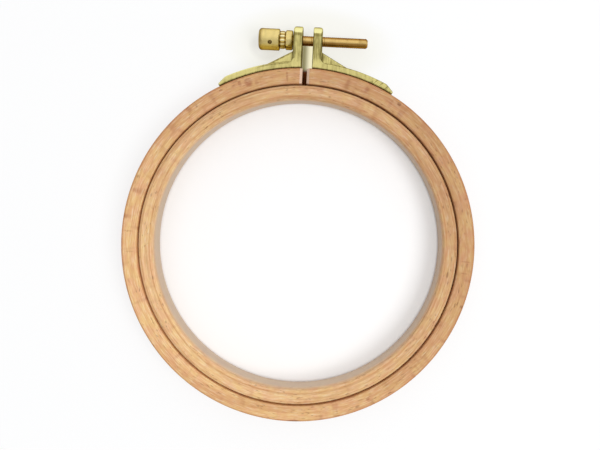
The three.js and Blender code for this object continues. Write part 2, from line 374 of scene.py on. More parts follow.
@dataclass(frozen=True)
class BeechFinish:
    """Sanded bent beech: long fibres round the ring, short brown flecks, reddish rays and a few marks.

    Attributes:
        name: the material's name.
        pale: the light, yellowish wood.
        warm: the pinkish wood between.
        deep_grain_and_shade: the darker grain, which also colours the painted shade along the edges.
        red: the rays and the larger marks.
        shade: what the wood is darkened by on its darker side, as painted shade.
        fleck_and_slot_shade: the flecks' brown, which is also the painted shade on the split's faces.
        sawn: fresh end grain.
        bare: the inner wall's greyer, darker colour near its foot, as painted shade.
        foot_shade_radius: the radius inside which the wall gets that painted shade, in millimetres.
        centre_y: the rings' centre in the frame, in metres.
        seed: sets one ring's grain apart from the other's.
        lines: how strongly the long grain shows, up to 1.
        flecks: how many of the flecks show, up to 1.
        rays: how strongly the rays show, up to 1.
        edge_shades: bands along the rounded and bevelled edges that are darkened as painted shade: radius and
            half width in millimetres, and strength.
        marks: the marks that stand out.
        has_cut: the mesh carries fresh_cut, which is 1 on cut edges and -1 on the split's faces, which get
            painted shade.
        grain: the layers of the grain.
        painted_shade_way: how fast the painted shade darkens the wood along X and Y across the hoop.
        painted_shade_strength: how strongly that painted shade shows, up to 1.
        foot_shade_fade: how far outside its radius that painted shade ends, in millimetres.
        foot_shade_heights: the heights where that painted shade starts and is full, in metres.
        mark_edge: the squares of the distance from a mark's middle at which it comes in.
        cut_edge: the levels of fresh_cut at which sawn wood comes in.
        slot_face_shade: those at which the painted shade on the split's faces comes in.
    """

    name: str
    pale: Colour
    warm: Colour
    deep_grain_and_shade: Colour
    red: Colour
    shade: Colour
    fleck_and_slot_shade: Colour
    sawn: Colour
    bare: Colour
    foot_shade_radius: float
    centre_y: float
    seed: float
    lines: float
    flecks: float
    rays: float
    edge_shades: Tuple[Tuple[float, float, float], ...]
    marks: Tuple[Mark, ...]
    has_cut: bool = False
    grain: BeechGrain = BeechGrain()
    painted_shade_way: Point = (0.36, 0.22)
    painted_shade_strength: float = 0.9
    foot_shade_fade: float = 0.35
    foot_shade_heights: Ramp = Ramp(0.0092, 0.0055)
    mark_edge: Ramp = Ramp(1.5, 0.1)
    cut_edge: Ramp = Ramp(0.0, 1.0)
    slot_face_shade: Ramp = Ramp(0.0, -0.8)

    def make(self) -> bpy.types.Material:
        """Makes the material.

        Returns:
            The material.
        """
        material, board = new_material(self.name)
        x, y, z = board.place()
        y = y - self.centre_y
        radius = (x * x + y * y) ** 0.5
        # The grain is read on a turn of noise, so that it runs round the ring and meets itself.
        around_x, around_y = x / radius, y / radius
        grain = self.grain

        def read(layer: Layer) -> Level:
            """Reads one layer of the grain.

            Args:
                layer: the layer.

            Returns:
                Its level.
            """
            turns, across = grain.radius / layer.length, 1.0 / MM / layer.width
            vector = board.vector(around_x * turns, around_y * turns, radius * across + layer.shift)
            return board.noise(vector, 1.0, layer.detail, z * across + self.seed)

        blotches, broad, lines = read(grain.blotches), read(grain.broad), read(grain.lines)
        fibres, spindles = read(grain.fibres), read(grain.spindles)
        patches, cross = read(grain.patches), read(grain.cross)

        colour = board.mix(blotches.step(*grain.blotch_shows), self.pale, self.warm)
        colour = board.mix(broad.step(*grain.broad_shows) * grain.broad_strength, colour, self.deep_grain_and_shade)
        colour = board.mix(lines.step(*grain.line_shows) * self.lines, colour, self.deep_grain_and_shade)
        rays = cross.step(*grain.ray_shows) * patches.step(*grain.ray_patches) * self.rays
        colour = board.mix(rays, colour, self.red)
        flecks = spindles.step(*grain.fleck_shows) * patches.step(*grain.fleck_patches) * self.flecks
        colour = board.mix(flecks, colour, self.fleck_and_slot_shade)
        darker = fibres.step(*grain.dark_fibres) * grain.dark_strength
        colour = board.mix(darker, colour, self.deep_grain_and_shade, "MULTIPLY")
        brighter = fibres.step(*grain.pale_fibres) * grain.pale_strength
        colour = board.mix(brighter, colour, grain.gleam, "SCREEN")
        for mark in self.marks:
            let_through = fibres.step(*grain.mark_fibres) * (1.0 - grain.mark_floor) + grain.mark_floor
            cover = self._mark(board, x, y, mark) * let_through
            colour = board.mix(cover, colour, self.fleck_and_slot_shade if mark.is_dark else self.red)
        # Painted shade along the edges, where the rounds and bevels turn away from the light.
        for place, width, strength in self.edge_shades:
            near = (radius - place * MM) / (width * MM)
            colour = board.mix((near * near).step(1.0, 0.0) * strength, colour, self.deep_grain_and_shade, "MULTIPLY")
        # Painted light and shade: the wood is paler on one side of the hoop and darker on the other, where
        # less light falls.
        side = around_x * self.painted_shade_way[0] + around_y * self.painted_shade_way[1] + 0.5
        colour = board.mix(side * self.painted_shade_strength, colour, self.shade, "MULTIPLY")
        # Painted shade: the inner wall is greyed and darkened towards its foot on the table.
        wall = (radius * (1.0 / MM)).step(self.foot_shade_radius + self.foot_shade_fade, self.foot_shade_radius)
        bare = wall * z.step(*self.foot_shade_heights) * (fibres * (1.0 - grain.foot_shade_floor) + grain.foot_shade_floor)
        colour = board.mix(bare, colour, self.bare)
        if self.has_cut:
            cut = board.attribute("fresh_cut")
            sawn = cut.step(*self.cut_edge) * (lines * grain.sawn_lines[1] + grain.sawn_lines[0])
            colour = board.mix(sawn, colour, self.sawn)
            # Painted shade: the split's faces get the flecks' brown, for the shade deep in the narrow cut.
            colour = board.mix(cut.step(*self.slot_face_shade), colour, self.fleck_and_slot_shade)

        fibre_height, line_height, fleck_depth = grain.relief
        height = fibres * fibre_height + lines * line_height - flecks * fleck_depth
        board.surface({
            "Base Color": colour,
            "Roughness": fibres * grain.roughness[1] + grain.roughness[0],
            "Specular IOR Level": grain.gloss,
            "Normal": board.bump(height, grain.depth, grain.relief_strength),
        })
        return material

    def _mark(self, board: Board, x: Level, y: Level, mark: Mark) -> Level:
        """Finds how much one mark covers the wood.

        Args:
            board: the material's board.
            x: the place along X from the rings' centre, in metres.
            y: the place along Y, in the same way.
            mark: the mark.

        Returns:
            The level of its cover, up to its strength.
        """
        angle = math.radians(mark.angle)
        out_x, out_y = math.sin(angle), math.cos(angle)
        across = (x * out_x + y * out_y - mark.radius * MM) / (mark.width * MM)
        along = (x * out_y - y * out_x) / (mark.length * MM)
        return (across * across + along * along).step(*self.mark_edge) * mark.strength


@dataclass(frozen=True)
class ToolMarks:
    """The marks that a way of working leaves on metal.

    Attributes:
        fineness: how many marks there are to the metre along X, Y and Z.
        pits: how many pits there are to the metre, or 0 where the marks are pits.
        detail: how many finer layers both have.
        heights: how high marks and pits stand, as shares of the depth.
        depth: the depth, in metres.
    """

    fineness: Tuple[float, float, float]
    pits: float
    detail: float
    heights: Point
    depth: float


class Grain(Enum):
    """How a brass surface was made. Its value is the marks that this leaves."""

    CAST = ToolMarks((2100.0, 210.0, 900.0), 1500.0, 3.0, (0.8, 0.5), 0.00012)
    TURNED = ToolMarks((5200.0, 120.0, 120.0), 2200.0, 2.0, (0.7, 0.3), 0.00005)
    DRAWN = ToolMarks((2600.0, 2600.0, 2600.0), 0.0, 3.0, (1.0, 0.0), 0.00003)


@dataclass(frozen=True)
class BrassSkin:
    """How tarnish and wear show on brass. Fineness is in spots to the metre along X, Y and Z."""

    patches: Tuple[float, float, float] = (520.0, 420.0, 520.0)
    patch_detail: float = 4.0
    patch_shows: Ramp = Ramp(0.4, 0.7)
    mark_shows: Ramp = Ramp(0.46, 0.74)
    mark_dulls: float = 0.3
    skin_marks: Ramp = Ramp(0.3, 0.66)
    skin_floor: float = 0.5  # how much of duller skin shows between the tool marks
    strokes: Tuple[float, float, float] = (1900.0, 130.0, 300.0)  # file marks, across, along and up the metal
    stroke_detail: float = 2.0
    stroke_shows: Ramp = Ramp(0.5, 0.62)
    stroke_fade: float = 0.008  # over what length along X they come in, in metres
    stroke_dulls: float = 0.9
    dull_colour: Ramp = Ramp(0.0, 1.1)  # the dullness at which the tarnish's colour comes in
    dull_rough: Ramp = Ramp(0.0, 1.6)  # and its roughness
    dull_roughens: float = 0.14
    pits_roughen: float = 0.06
    worn_shows: Ramp = Ramp(0.15, 0.8)
    groove_shows: Ramp = Ramp(-0.15, -0.8)
    wear_strength: float = 0.85
    wear_polishes: float = 0.08
    relief_strength: float = 0.5


@dataclass(frozen=True)
class BrassFinish:
    """Bright brass with tool marks, thin tarnish and brighter edges, with painted highlights and shade where
    the mesh carries them.

    Attributes:
        name: the material's name.
        colour: the clean metal.
        tarnish_and_shade: the metal where it has dulled, which also colours its painted shade.
        worn_and_highlight: the metal on its worn edges and its painted highlights.
        glancing: the metal's tint where it is seen along its surface.
        roughness: how rough the clean metal is.
        grain: how the surface was made.
        tarnished: how much of the dull metal shows, up to 1.
        has_wear_and_sheen: the mesh carries edge_wear, 1 on worn edges and painted highlights and -1 in
            corners and painted shade lines, and dulled, 1 where it is duller or painted darker.
        filed_from: the place along X, in metres, from which file marks cross the metal.
        axis: the place in Y and Z, in metres, of the axis that the metal was turned about.
        flank_shade: how far up from that axis the painted shade on its flanks starts and is full, as shares
            of its radius.
        shade: how strongly that painted shade shows, up to 1.
        lean: how far its unshaded top band leans towards the split's side.
        skin: how tarnish and wear show.
    """

    name: str
    colour: Colour
    tarnish_and_shade: Colour
    worn_and_highlight: Colour
    glancing: Colour
    roughness: float
    grain: Grain
    tarnished: float
    has_wear_and_sheen: bool = False
    filed_from: float = 1.0
    axis: Optional[Point] = None
    flank_shade: Ramp = Ramp(0.8, 0.42)
    shade: float = 0.62
    lean: float = 0.12
    skin: BrassSkin = BrassSkin()

    def make(self) -> bpy.types.Material:
        """Makes the material.

        Returns:
            The material.
        """
        material, board = new_material(self.name)
        x, y, z = board.place()

        def spots(fine_x: float, fine_y: float, fine_z: float, detail: float) -> Level:
            """Noise with so many spots to the metre along each axis."""
            return board.noise(board.vector(x * fine_x, y * fine_y, z * fine_z), 1.0, detail)

        tool, skin = self.grain.value, self.skin
        marks = spots(*tool.fineness, tool.detail)
        pits = height = marks
        if tool.pits:
            pits = spots(tool.pits, tool.pits, tool.pits, tool.detail)
            height = marks * tool.heights[0] + pits * tool.heights[1]
        patches = spots(*skin.patches, skin.patch_detail)
        dull_and_shade = patches.step(*skin.patch_shows) * self.tarnished
        dull_and_shade = dull_and_shade + marks.step(*skin.mark_shows) * skin.mark_dulls
        if self.has_wear_and_sheen:
            between = marks.step(*skin.skin_marks) * (1.0 - skin.skin_floor) + skin.skin_floor
            # dulled adds painted shade as well as duller skin.
            dull_and_shade = dull_and_shade + board.attribute("dulled") * between
            across, along, up = skin.strokes
            vector = board.vector((x - y) * across, (x + y) * along, z * up)
            strokes = board.noise(vector, 1.0, skin.stroke_detail).step(*skin.stroke_shows)
            filed = strokes * x.step(self.filed_from, self.filed_from + skin.stroke_fade)
            dull_and_shade = dull_and_shade + filed * skin.stroke_dulls
        roughness = self.roughness + dull_and_shade.step(*skin.dull_rough) * skin.dull_roughens
        roughness = roughness + pits * skin.pits_roughen
        colour = board.mix(dull_and_shade.step(*skin.dull_colour), self.colour, self.tarnish_and_shade)
        if self.has_wear_and_sheen:
            # edge_wear brightens worn edges and painted highlights, and darkens corners and painted shade
            # lines.
            wear_and_light = board.attribute("edge_wear")
            colour = board.mix(wear_and_light.step(*skin.worn_shows) * skin.wear_strength, colour, self.worn_and_highlight)
            grooves = wear_and_light.step(*skin.groove_shows) * skin.wear_strength
            colour = board.mix(grooves, colour, self.tarnish_and_shade, "MULTIPLY")
            roughness = roughness - wear_and_light.step(*skin.worn_shows) * skin.wear_polishes
        if self.axis is not None:
            # Painted shade and dark reflections: the flanks of a turned piece are darkened away from its top.
            off_y, off_z = y - self.axis[0], z - self.axis[1]
            up = (off_z + off_y * self.lean) / (off_y * off_y + off_z * off_z) ** 0.5
            colour = board.mix(up.step(*self.flank_shade) * self.shade, colour, self.tarnish_and_shade, "MULTIPLY")
        board.surface({
            "Base Color": colour,
            "Metallic": 1.0,
            "Roughness": roughness,
            "Specular Tint": self.glancing,
            "Normal": board.bump(height, tool.depth, skin.relief_strength),
        })
        return material


def add_outline(bm: bmesh.types.BMesh, points: Iterable[Vector], closed: bool) -> List:
    """Adds points and the edges between them.

    Args:
        bm: the mesh that they go into.
        points: the points in order.
        closed: the last point joins the first.

    Returns:
        The new points and edges.
    """
    verts = [bm.verts.new(point) for point in points]
    edges = [bm.edges.new(pair) for pair in zip(verts, verts[1:])]
    if closed:
        edges.append(bm.edges.new((verts[-1], verts[0])))
    return [*verts, *edges]


def add_prism(bm: bmesh.types.BMesh, outline: Sequence[Point], low: float, high: float) -> None:
    """Adds an upright prism on a flat outline.

    Args:
        bm: the mesh that it goes into.
        outline: the outline's corners in order.
        low: the height of its foot.
        high: the height of its top.
    """
    face = bm.faces.new([bm.verts.new((x, y, low)) for x, y in outline])
    raised = bmesh.ops.extrude_face_region(bm, geom=[face])
    verts = [part for part in raised["geom"] if isinstance(part, bmesh.types.BMVert)]
    bmesh.ops.translate(bm, verts=verts, vec=(0.0, 0.0, high - low))


def arc(centre: Point, radius: float, start: float, end: float, steps: int) -> List[Point]:
    """Points on an arc, both ends included, with angles in degrees from the first axis."""
    angles = (math.radians(start + (end - start) * step / steps) for step in range(steps + 1))
    return [(centre[0] + radius * math.cos(angle), centre[1] + radius * math.sin(angle)) for angle in angles]


def spin(bm: bmesh.types.BMesh, outline: List, axis: Vector, steps: int, angle: float = TURN,
         advance: float = 0.0) -> None:
    """Spins an outline about an axis through the origin.

    Args:
        bm: the mesh that it is in.
        outline: its points and edges.
        axis: the axis.
        steps: how many steps are made.
        angle: how far it is spun. A full turn meets its own start.
        advance: how far it moves along the axis in a step.
    """
    bmesh.ops.spin(bm, geom=outline, cent=(0, 0, 0), axis=axis, dvec=axis * advance,
                   angle=angle, steps=steps, use_merge=angle == TURN)


def spaced(start: float, end: float, pitch: float) -> List[float]:
    """Places from start up to but not at end, about a pitch apart."""
    count = max(1, round(abs(end - start) / pitch))
    return [start + (end - start) * step / count for step in range(count)]


@dataclass
class Bench:
    """Brings a finished shape into the frame.

    Attributes:
        centre_y: the rings' centre in the frame, in millimetres.
    """

    centre_y: float

    def finish(self, bm: bmesh.types.BMesh, name: str, sharp: float = 32.0) -> bpy.types.Object:
        """Makes an object of a shape, in metres and in its place.

        Args:
            bm: the shape in millimetres, which is used up.
            name: the piece's name.
            sharp: faces that meet at more degrees than this keep their edge.

        Returns:
            The object.
        """
        bmesh.ops.remove_doubles(bm, verts=bm.verts[:], dist=WELD)
        bmesh.ops.dissolve_degenerate(bm, edges=bm.edges[:], dist=SPECK)
        bmesh.ops.recalc_face_normals(bm, faces=bm.faces[:])
        bmesh.ops.translate(bm, verts=bm.verts[:], vec=(0.0, self.centre_y, 0.0))
        bmesh.ops.scale(bm, verts=bm.verts[:], vec=(MM, MM, MM))
        mesh = bpy.data.meshes.new(name)
        bm.to_mesh(mesh)
        bm.free()
        mesh.shade_smooth()
        mesh.set_sharp_from_angle(angle=math.radians(sharp))
        piece = bpy.data.objects.new(name, mesh)
        bpy.context.scene.collection.objects.link(piece)
        return piece

    def fuse(self, bm: bmesh.types.BMesh, voxel: float, rounds: int) -> bmesh.types.BMesh:
        """Fuses shells that run into each other into one casting with softened edges.

        Args:
            bm: the closed shells in millimetres, which are used up.
            voxel: the fineness of the new surface.
            rounds: how often it is smoothed.

        Returns:
            The casting.
        """
        bmesh.ops.recalc_face_normals(bm, faces=bm.faces[:])
        mesh = bpy.data.meshes.new("shells")
        bm.to_mesh(mesh)
        bm.free()
        shells = bpy.data.objects.new("shells", mesh)
        bpy.context.scene.collection.objects.link(shells)
        remesh = shells.modifiers.new("fuse", "REMESH")
        remesh.mode = "VOXEL"
        remesh.voxel_size = voxel
        relax = shells.modifiers.new("soften", "SMOOTH")
        relax.factor = 0.5
        relax.iterations = rounds
        evaluated = shells.evaluated_get(bpy.context.evaluated_depsgraph_get())
        cast = bmesh.new()
        cast.from_mesh(evaluated.to_mesh())
        evaluated.to_mesh_clear()
        bpy.data.objects.remove(shells)
        bpy.data.meshes.remove(mesh)
        return cast


def dress(piece: bpy.types.Object, material: bpy.types.Material, node: str) -> None:
    """Gives a piece its material, hides the CAD node that it stands for, and reports it.

    Args:
        piece: the piece.
        material: its material.
        node: the CAD node that it stands for.
    """
    piece.data.materials.clear()
    piece.data.materials.append(material)
    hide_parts(node)
    log.info("%s stands for %s, %d faces", piece.name, node, len(piece.data.polygons))


@dataclass
class Measures:
    """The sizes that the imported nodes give, in millimetres from the rings' centre.

    Attributes:
        centre_y: the rings' centre in the frame.
        depth: the rings' depth.
        inner_radius: the inner ring's outer radius.
        outer_radius: the outer ring's outer radius.
        lug_inner: half the gap between the lugs.
        lug_top: the top of the lugs.
        bracket_low: the brackets' lower edge.
        bracket_high: the brackets' upper edge.
        screw_y: the screw's axis.
        rod_radius: the rod's outer radius.
        rod_start: the rod's end in the knob.
        rod_end: the rod's tip.
        knob_start: the knob's free end.
        knob_end: the face of its collar.
        barrel_radius: the knob's largest radius.
        pin_x: the cross pin's place along the screw.
    """

    centre_y: float
    depth: float
    inner_radius: float
    outer_radius: float
    lug_inner: float
    lug_top: float
    bracket_low: float
    bracket_high: float
    screw_y: float
    rod_radius: float
    rod_start: float
    rod_end: float
    knob_start: float
    knob_end: float
    barrel_radius: float
    pin_x: float

    @classmethod
    def read(cls) -> "Measures":
        """Reads them from the frame.

        Returns:
            The sizes.
        """
        boxes = {}
        for node in ("inner_ring", "outer_ring", "right_bracket", "screw_rod", "screw_knob", "knob_pin"):
            low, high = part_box(node)
            boxes[node] = (low / MM, high / MM)
        (ring_low, ring_high), (outer_low, outer_high) = boxes["inner_ring"], boxes["outer_ring"]
        bracket_low, bracket_high = boxes["right_bracket"]
        rod_low, rod_high = boxes["screw_rod"]
        knob_low, knob_high = boxes["screw_knob"]
        pin_low, pin_high = boxes["knob_pin"]
        centre_y = (ring_low.y + ring_high.y) / 2.0
        return cls(
            centre_y=centre_y,
            depth=ring_high.z - ring_low.z,
            inner_radius=(ring_high.x - ring_low.x) / 2.0,
            outer_radius=(outer_high.x - outer_low.x) / 2.0,
            lug_inner=bracket_low.x,
            lug_top=bracket_high.y - centre_y,
            bracket_low=bracket_low.z,
            bracket_high=bracket_high.z,
            screw_y=(rod_low.y + rod_high.y) / 2.0 - centre_y,
            rod_radius=(rod_high.z - rod_low.z) / 2.0,
            rod_start=rod_low.x,
            rod_end=rod_high.x,
            knob_start=knob_low.x,
            knob_end=knob_high.x,
            barrel_radius=(knob_high.z - knob_low.z) / 2.0,
            pin_x=(pin_low.x + pin_high.x) / 2.0,
        )

    @property
    def middle(self) -> float:
        """Half the rings' depth, where the screw lies."""
        return self.depth / 2.0


@dataclass
class Rings:
    """The two wooden rings.

    Attributes:
        bench: finishes the pieces.
        sizes: the frame's sizes.
        ring_gap: the gap between the rings.
        inner_wall: the inner ring's wall.
        outer_round: the round on the outer ring's outside edges.
        eased: the easing on its inside edges.
        bevel: the width and depth of the bevel on the inner ring's outside edges.
        ease: the easing of the bevel's own corners.
        ease_low: the lower of them: how far in and up from its corner it runs, as shares of that easing.
        ease_high: the upper: how far out and down.
        inner_round: the round on its inside edges.
        flat_pitch: how far apart the points on the flat faces are.
        split_place: the middle of the split along X, a little to the left of the lugs' middle.
        split_half: half the split's width.
        split_chamfer: the chamfer on the split's edges.
        side_chamfer: the same on its upright edges.
        softness: how softly the chamfer starts.
        chamfer_sections: where it has its sections, in chamfers from the split's face.
        chamfer_offset: how much less it is drawn in than its width.
        spun_short: how far from the split the spun ring stops, in chamfers.
        fresh_edge: where fresh wood starts and is full, in chamfers from the split's face.
        slot_shade_edge: where the painted shade on the split's faces ends, in the same way.
        bend_share: a share of the split's width; nothing bends by it.
        steps: how many steps go round a ring.
    """

    bench: Bench
    sizes: Measures
    ring_gap: float = 0.6
    inner_wall: float = INNER_WALL
    outer_round: float = 1.1
    eased: float = 0.35
    bevel: Point = (0.75, 0.35)
    ease: float = 0.1
    ease_low: Point = (0.4, 0.1)
    ease_high: Point = (0.5, 0.35)
    inner_round: float = 0.75
    flat_pitch: float = 0.45
    split_place: float = -0.5
    split_half: float = 0.7
    split_chamfer: float = 0.8
    side_chamfer: float = 0.25
    softness: float = 0.12
    chamfer_sections: Tuple[float, ...] = (1.3, 1.1, 0.95, 0.85, 0.75, 0.6, 0.3, 0.06, 0.0)
    chamfer_offset: float = 0.02
    spun_short: float = 1.6
    fresh_edge: Ramp = Ramp(1.04, 0.915)
    slot_shade_edge: float = 0.05
    bend_share: float = 0.93
    steps: int = 540

    def _section(self, outside: List[Point], edge: float, inside: float, ease: float,
                 steps: int) -> List[Point]:
        """Completes a section from its outside.

        Args:
            outside: its outside, from the lower face's edge to the upper one's.
            edge: the radius where both faces end there.
            inside: the radius of its inside.
            ease: the round on its inside edges.
            steps: how many steps that round has.

        Returns:
            The section, as radius and height.
        """
        depth = self.sizes.depth
        top = [(radius, depth) for radius in spaced(edge, inside + ease, self.flat_pitch)[1:]]
        upper = arc((inside + ease, depth - ease), ease, 90.0, 180.0, steps)
        lower = arc((inside + ease, ease), ease, 180.0, 270.0, steps)
        bottom = [(radius, 0.0) for radius in spaced(inside + ease, edge, self.flat_pitch)[1:]]
        return [*outside, *top, *upper, *lower, *bottom]

    def outer_section(self) -> List[Point]:
        """Draws the outer ring's section.

        Returns:
            The section, as radius and height.
        """
        out, depth, big = self.sizes.outer_radius, self.sizes.depth, self.outer_round
        upper = arc((out - big, depth - big), big, 0.0, 90.0, 8)
        lower = arc((out - big, big), big, -90.0, 0.0, 8)
        inside = self.sizes.inner_radius + self.ring_gap
        return self._section([*lower, *upper], out - big, inside, self.eased, 4)

    def inner_section(self) -> List[Point]:
        """Draws the inner ring's section, with the bevel's own corners eased.

        Returns:
            The section, as radius and height.
        """
        out, depth, ease = self.sizes.inner_radius, self.sizes.depth, self.ease
        (width, drop), (low_in, low_up), (high_out, high_down) = self.bevel, self.ease_low, self.ease_high
        upper = [
            (out, depth - drop - ease),
            (out - ease * low_in, depth - drop + ease * low_up),
            (out - width + ease * high_out, depth - ease * high_down),
            (out - width - ease, depth),
        ]
        lower = [(radius, depth - height) for radius, height in reversed(upper)]
        return self._section([*lower, *upper], out - width - ease, out - self.inner_wall, self.inner_round, 7)

    def build_inner(self) -> bpy.types.Object:
        """Builds the closed inner ring.

        Returns:
            The piece.
        """
        bm = bmesh.new()
        points = [Vector((0.0, radius, height)) for radius, height in self.inner_section()]
        spin(bm, add_outline(bm, points, True), UPWARDS, self.steps)
        return self.bench.finish(bm, "beech_inner_ring", sharp=60.0)

    def build_outer(self) -> bpy.types.Object:
        """Builds the outer ring, sawn through at the split, with chamfers there.

        Returns:
            The piece.
        """
        bm = bmesh.new()
        reach = self.split_half + self.split_chamfer * self.spun_short + abs(self.split_place)
        start = math.asin(reach / self.sizes.outer_radius)
        points = [
            Vector((radius * math.sin(start), radius * math.cos(start), height))
            for radius, height in self.outer_section()
        ]
        spin(bm, add_outline(bm, points, True), -UPWARDS, self.steps, TURN - 2.0 * start)
        cut = bm.verts.layers.float.new("fresh_cut")
        for side in (1.0, -1.0):
            self._close_end(bm, side)
        for vert in (vert for vert in bm.verts if vert.co.y > 0.0):
            beyond = (abs(vert.co.x - self.split_place) - self.split_half) / self.split_chamfer
            # -1 marks the split's faces, which get painted shade.
            vert[cut] = self.fresh_edge.share(beyond) if beyond > self.slot_shade_edge else -1.0
        return self.bench.finish(bm, "beech_outer_ring", sharp=60.0)

    def _close_end(self, bm: bmesh.types.BMesh, side: float) -> None:
        """Runs one open end on to the split's face, drawing its section in for the chamfer.

        Args:
            bm: the ring.
            side: the sign of X at that end.
        """
        loop = [edge for edge in bm.edges if edge.is_boundary and edge.verts[0].co.x * side > 0.0]
        for share in self.chamfer_sections:
            distance = share * self.split_chamfer
            left = self.split_chamfer - distance
            inset = 0.5 * (left + math.hypot(left, self.softness)) - self.chamfer_offset
            made = bmesh.ops.extrude_edge_only(bm, edges=loop)["geom"]
            loop = [part for part in made if isinstance(part, bmesh.types.BMEdge)]
            for vert in (part for part in made if isinstance(part, bmesh.types.BMVert)):
                self._draw_in(vert, self.split_place + side * (self.split_half + distance), inset)
        bmesh.ops.holes_fill(bm, edges=loop, sides=0)

    def _draw_in(self, vert: bmesh.types.BMVert, x: float, inset: float) -> None:
        """Moves a section's point to an upright plane, drawn in from the faces.

        Args:
            vert: the point.
            x: the plane's place.
            inset: how far the faces are drawn in there.
        """
        radius = math.hypot(vert.co.x, vert.co.y)
        share = inset / self.split_chamfer * self.side_chamfer
        inside = self.sizes.inner_radius + self.ring_gap
        radius = min(max(radius, inside + share), self.sizes.outer_radius - share)
        height = min(max(vert.co.z, inset), self.sizes.depth - inset)
        vert.co = Vector((x, math.sqrt(radius * radius - x * x), height))

    def finishes(self) -> Tuple[BeechFinish, BeechFinish]:
        """Lists the finishes.

        Returns:
            The outer ring's finish and the inner ring's.
        """
        out, inside = self.sizes.outer_radius, self.sizes.inner_radius - self.inner_wall
        shared = {
            "fleck_and_slot_shade": (0.3, 0.13, 0.06),
            "sawn": (0.82, 0.62, 0.5),
            "bare": (0.6, 0.49, 0.39),
            "centre_y": self.sizes.centre_y * MM,
        }
        outer = BeechFinish(
            name="sanded_beech_outer",
            pale=(0.95, 0.65, 0.3),
            warm=(0.92, 0.55, 0.3),
            deep_grain_and_shade=(0.68, 0.37, 0.17),
            red=(0.48, 0.19, 0.09),
            shade=(0.62, 0.56, 0.54),
            foot_shade_radius=0.0,
            seed=3.7,
            lines=0.36,
            flecks=0.55,
            rays=0.6,
            edge_shades=((out - 0.1, 0.8, 0.5),),
            marks=(
                Mark(-19.7, 54.0, 1.3, 1.5, 0.85, False),
                Mark(-22.6, 54.6, 0.6, 1.1, 0.8, False),
                Mark(-17.0, 53.2, 0.7, 0.9, 0.5, False),
                Mark(-6.4, 53.7, 0.4, 1.7, 0.75, False),
                Mark(33.0, 55.2, 0.7, 0.7, 0.8),
                Mark(93.0, 53.8, 0.25, 1.5, 0.5, False),
                Mark(97.0, 53.6, 0.25, 1.3, 0.45, False),
                Mark(108.0, 55.7, 0.6, 0.5, 0.7),
                Mark(152.8, 53.9, 0.6, 0.5, 0.7, False),
                Mark(157.0, 54.9, 0.8, 0.45, 0.6),
                Mark(164.0, 54.4, 0.35, 0.9, 0.5, False),
                Mark(179.0, 56.1, 2.4, 0.35, 0.7),
                Mark(-69.5, 55.4, 0.6, 0.4, 0.6),
                Mark(-88.0, 54.2, 0.3, 1.6, 0.4, False),
                Mark(-95.0, 53.6, 0.3, 1.5, 0.35, False),
            ),
            has_cut=True,
            **shared,
        )
        inner = BeechFinish(
            name="sanded_beech_inner",
            pale=(0.97, 0.69, 0.34),
            warm=(0.94, 0.6, 0.34),
            deep_grain_and_shade=(0.69, 0.41, 0.2),
            red=(0.55, 0.25, 0.13),
            shade=(0.66, 0.59, 0.57),
            foot_shade_radius=inside + 0.1,
            seed=19.2,
            lines=0.55,
            flecks=0.55,
            rays=0.3,
            edge_shades=((inside + 1.0, 0.3, 0.4), (self.sizes.inner_radius - self.bevel[0] - 0.05, 0.14, 0.45)),
            marks=(
                Mark(92.5, 49.2, 0.9, 0.25, 0.7),
                Mark(98.5, 48.6, 1.1, 0.35, 0.8),
                Mark(-74.0, 49.3, 0.7, 0.3, 0.6),
                Mark(159.0, 50.0, 0.6, 0.3, 0.7),
                Mark(-105.5, 47.3, 0.7, 0.35, 0.6),
                Mark(-37.0, 48.9, 0.7, 0.3, 0.6),
                Mark(24.0, 47.6, 1.3, 0.3, 0.5, False),
                Mark(-8.0, 47.5, 0.9, 0.25, 0.5, False),
            ),
            **shared,
        )
        return outer, inner

    def build(self) -> None:
        """Builds both rings."""
        outer_finish, inner_finish = self.finishes()
        outer = self.build_outer()
        dress(outer, outer_finish.make(), "outer_ring")
        place, reach = self.split_place * MM, self.bend_share * self.split_half * MM
        place - reach
        place + reach
        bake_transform(outer)
        inner = self.build_inner()
        dress(inner, inner_finish.make(), "inner_ring")
        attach(inner, "inner_hoop")


class Side(Enum):
    """A side of the split. Its value is the sign of X there."""

    LEFT = -1
    RIGHT = 1

    @property
    def body(self) -> str:
        """The CAD body on this side."""
        return "outer_hoop" if self is Side.LEFT else "right_clamp"

    @property
    def word(self) -> str:
        """The side's name, as the nodes use it."""
        return self.name.lower()


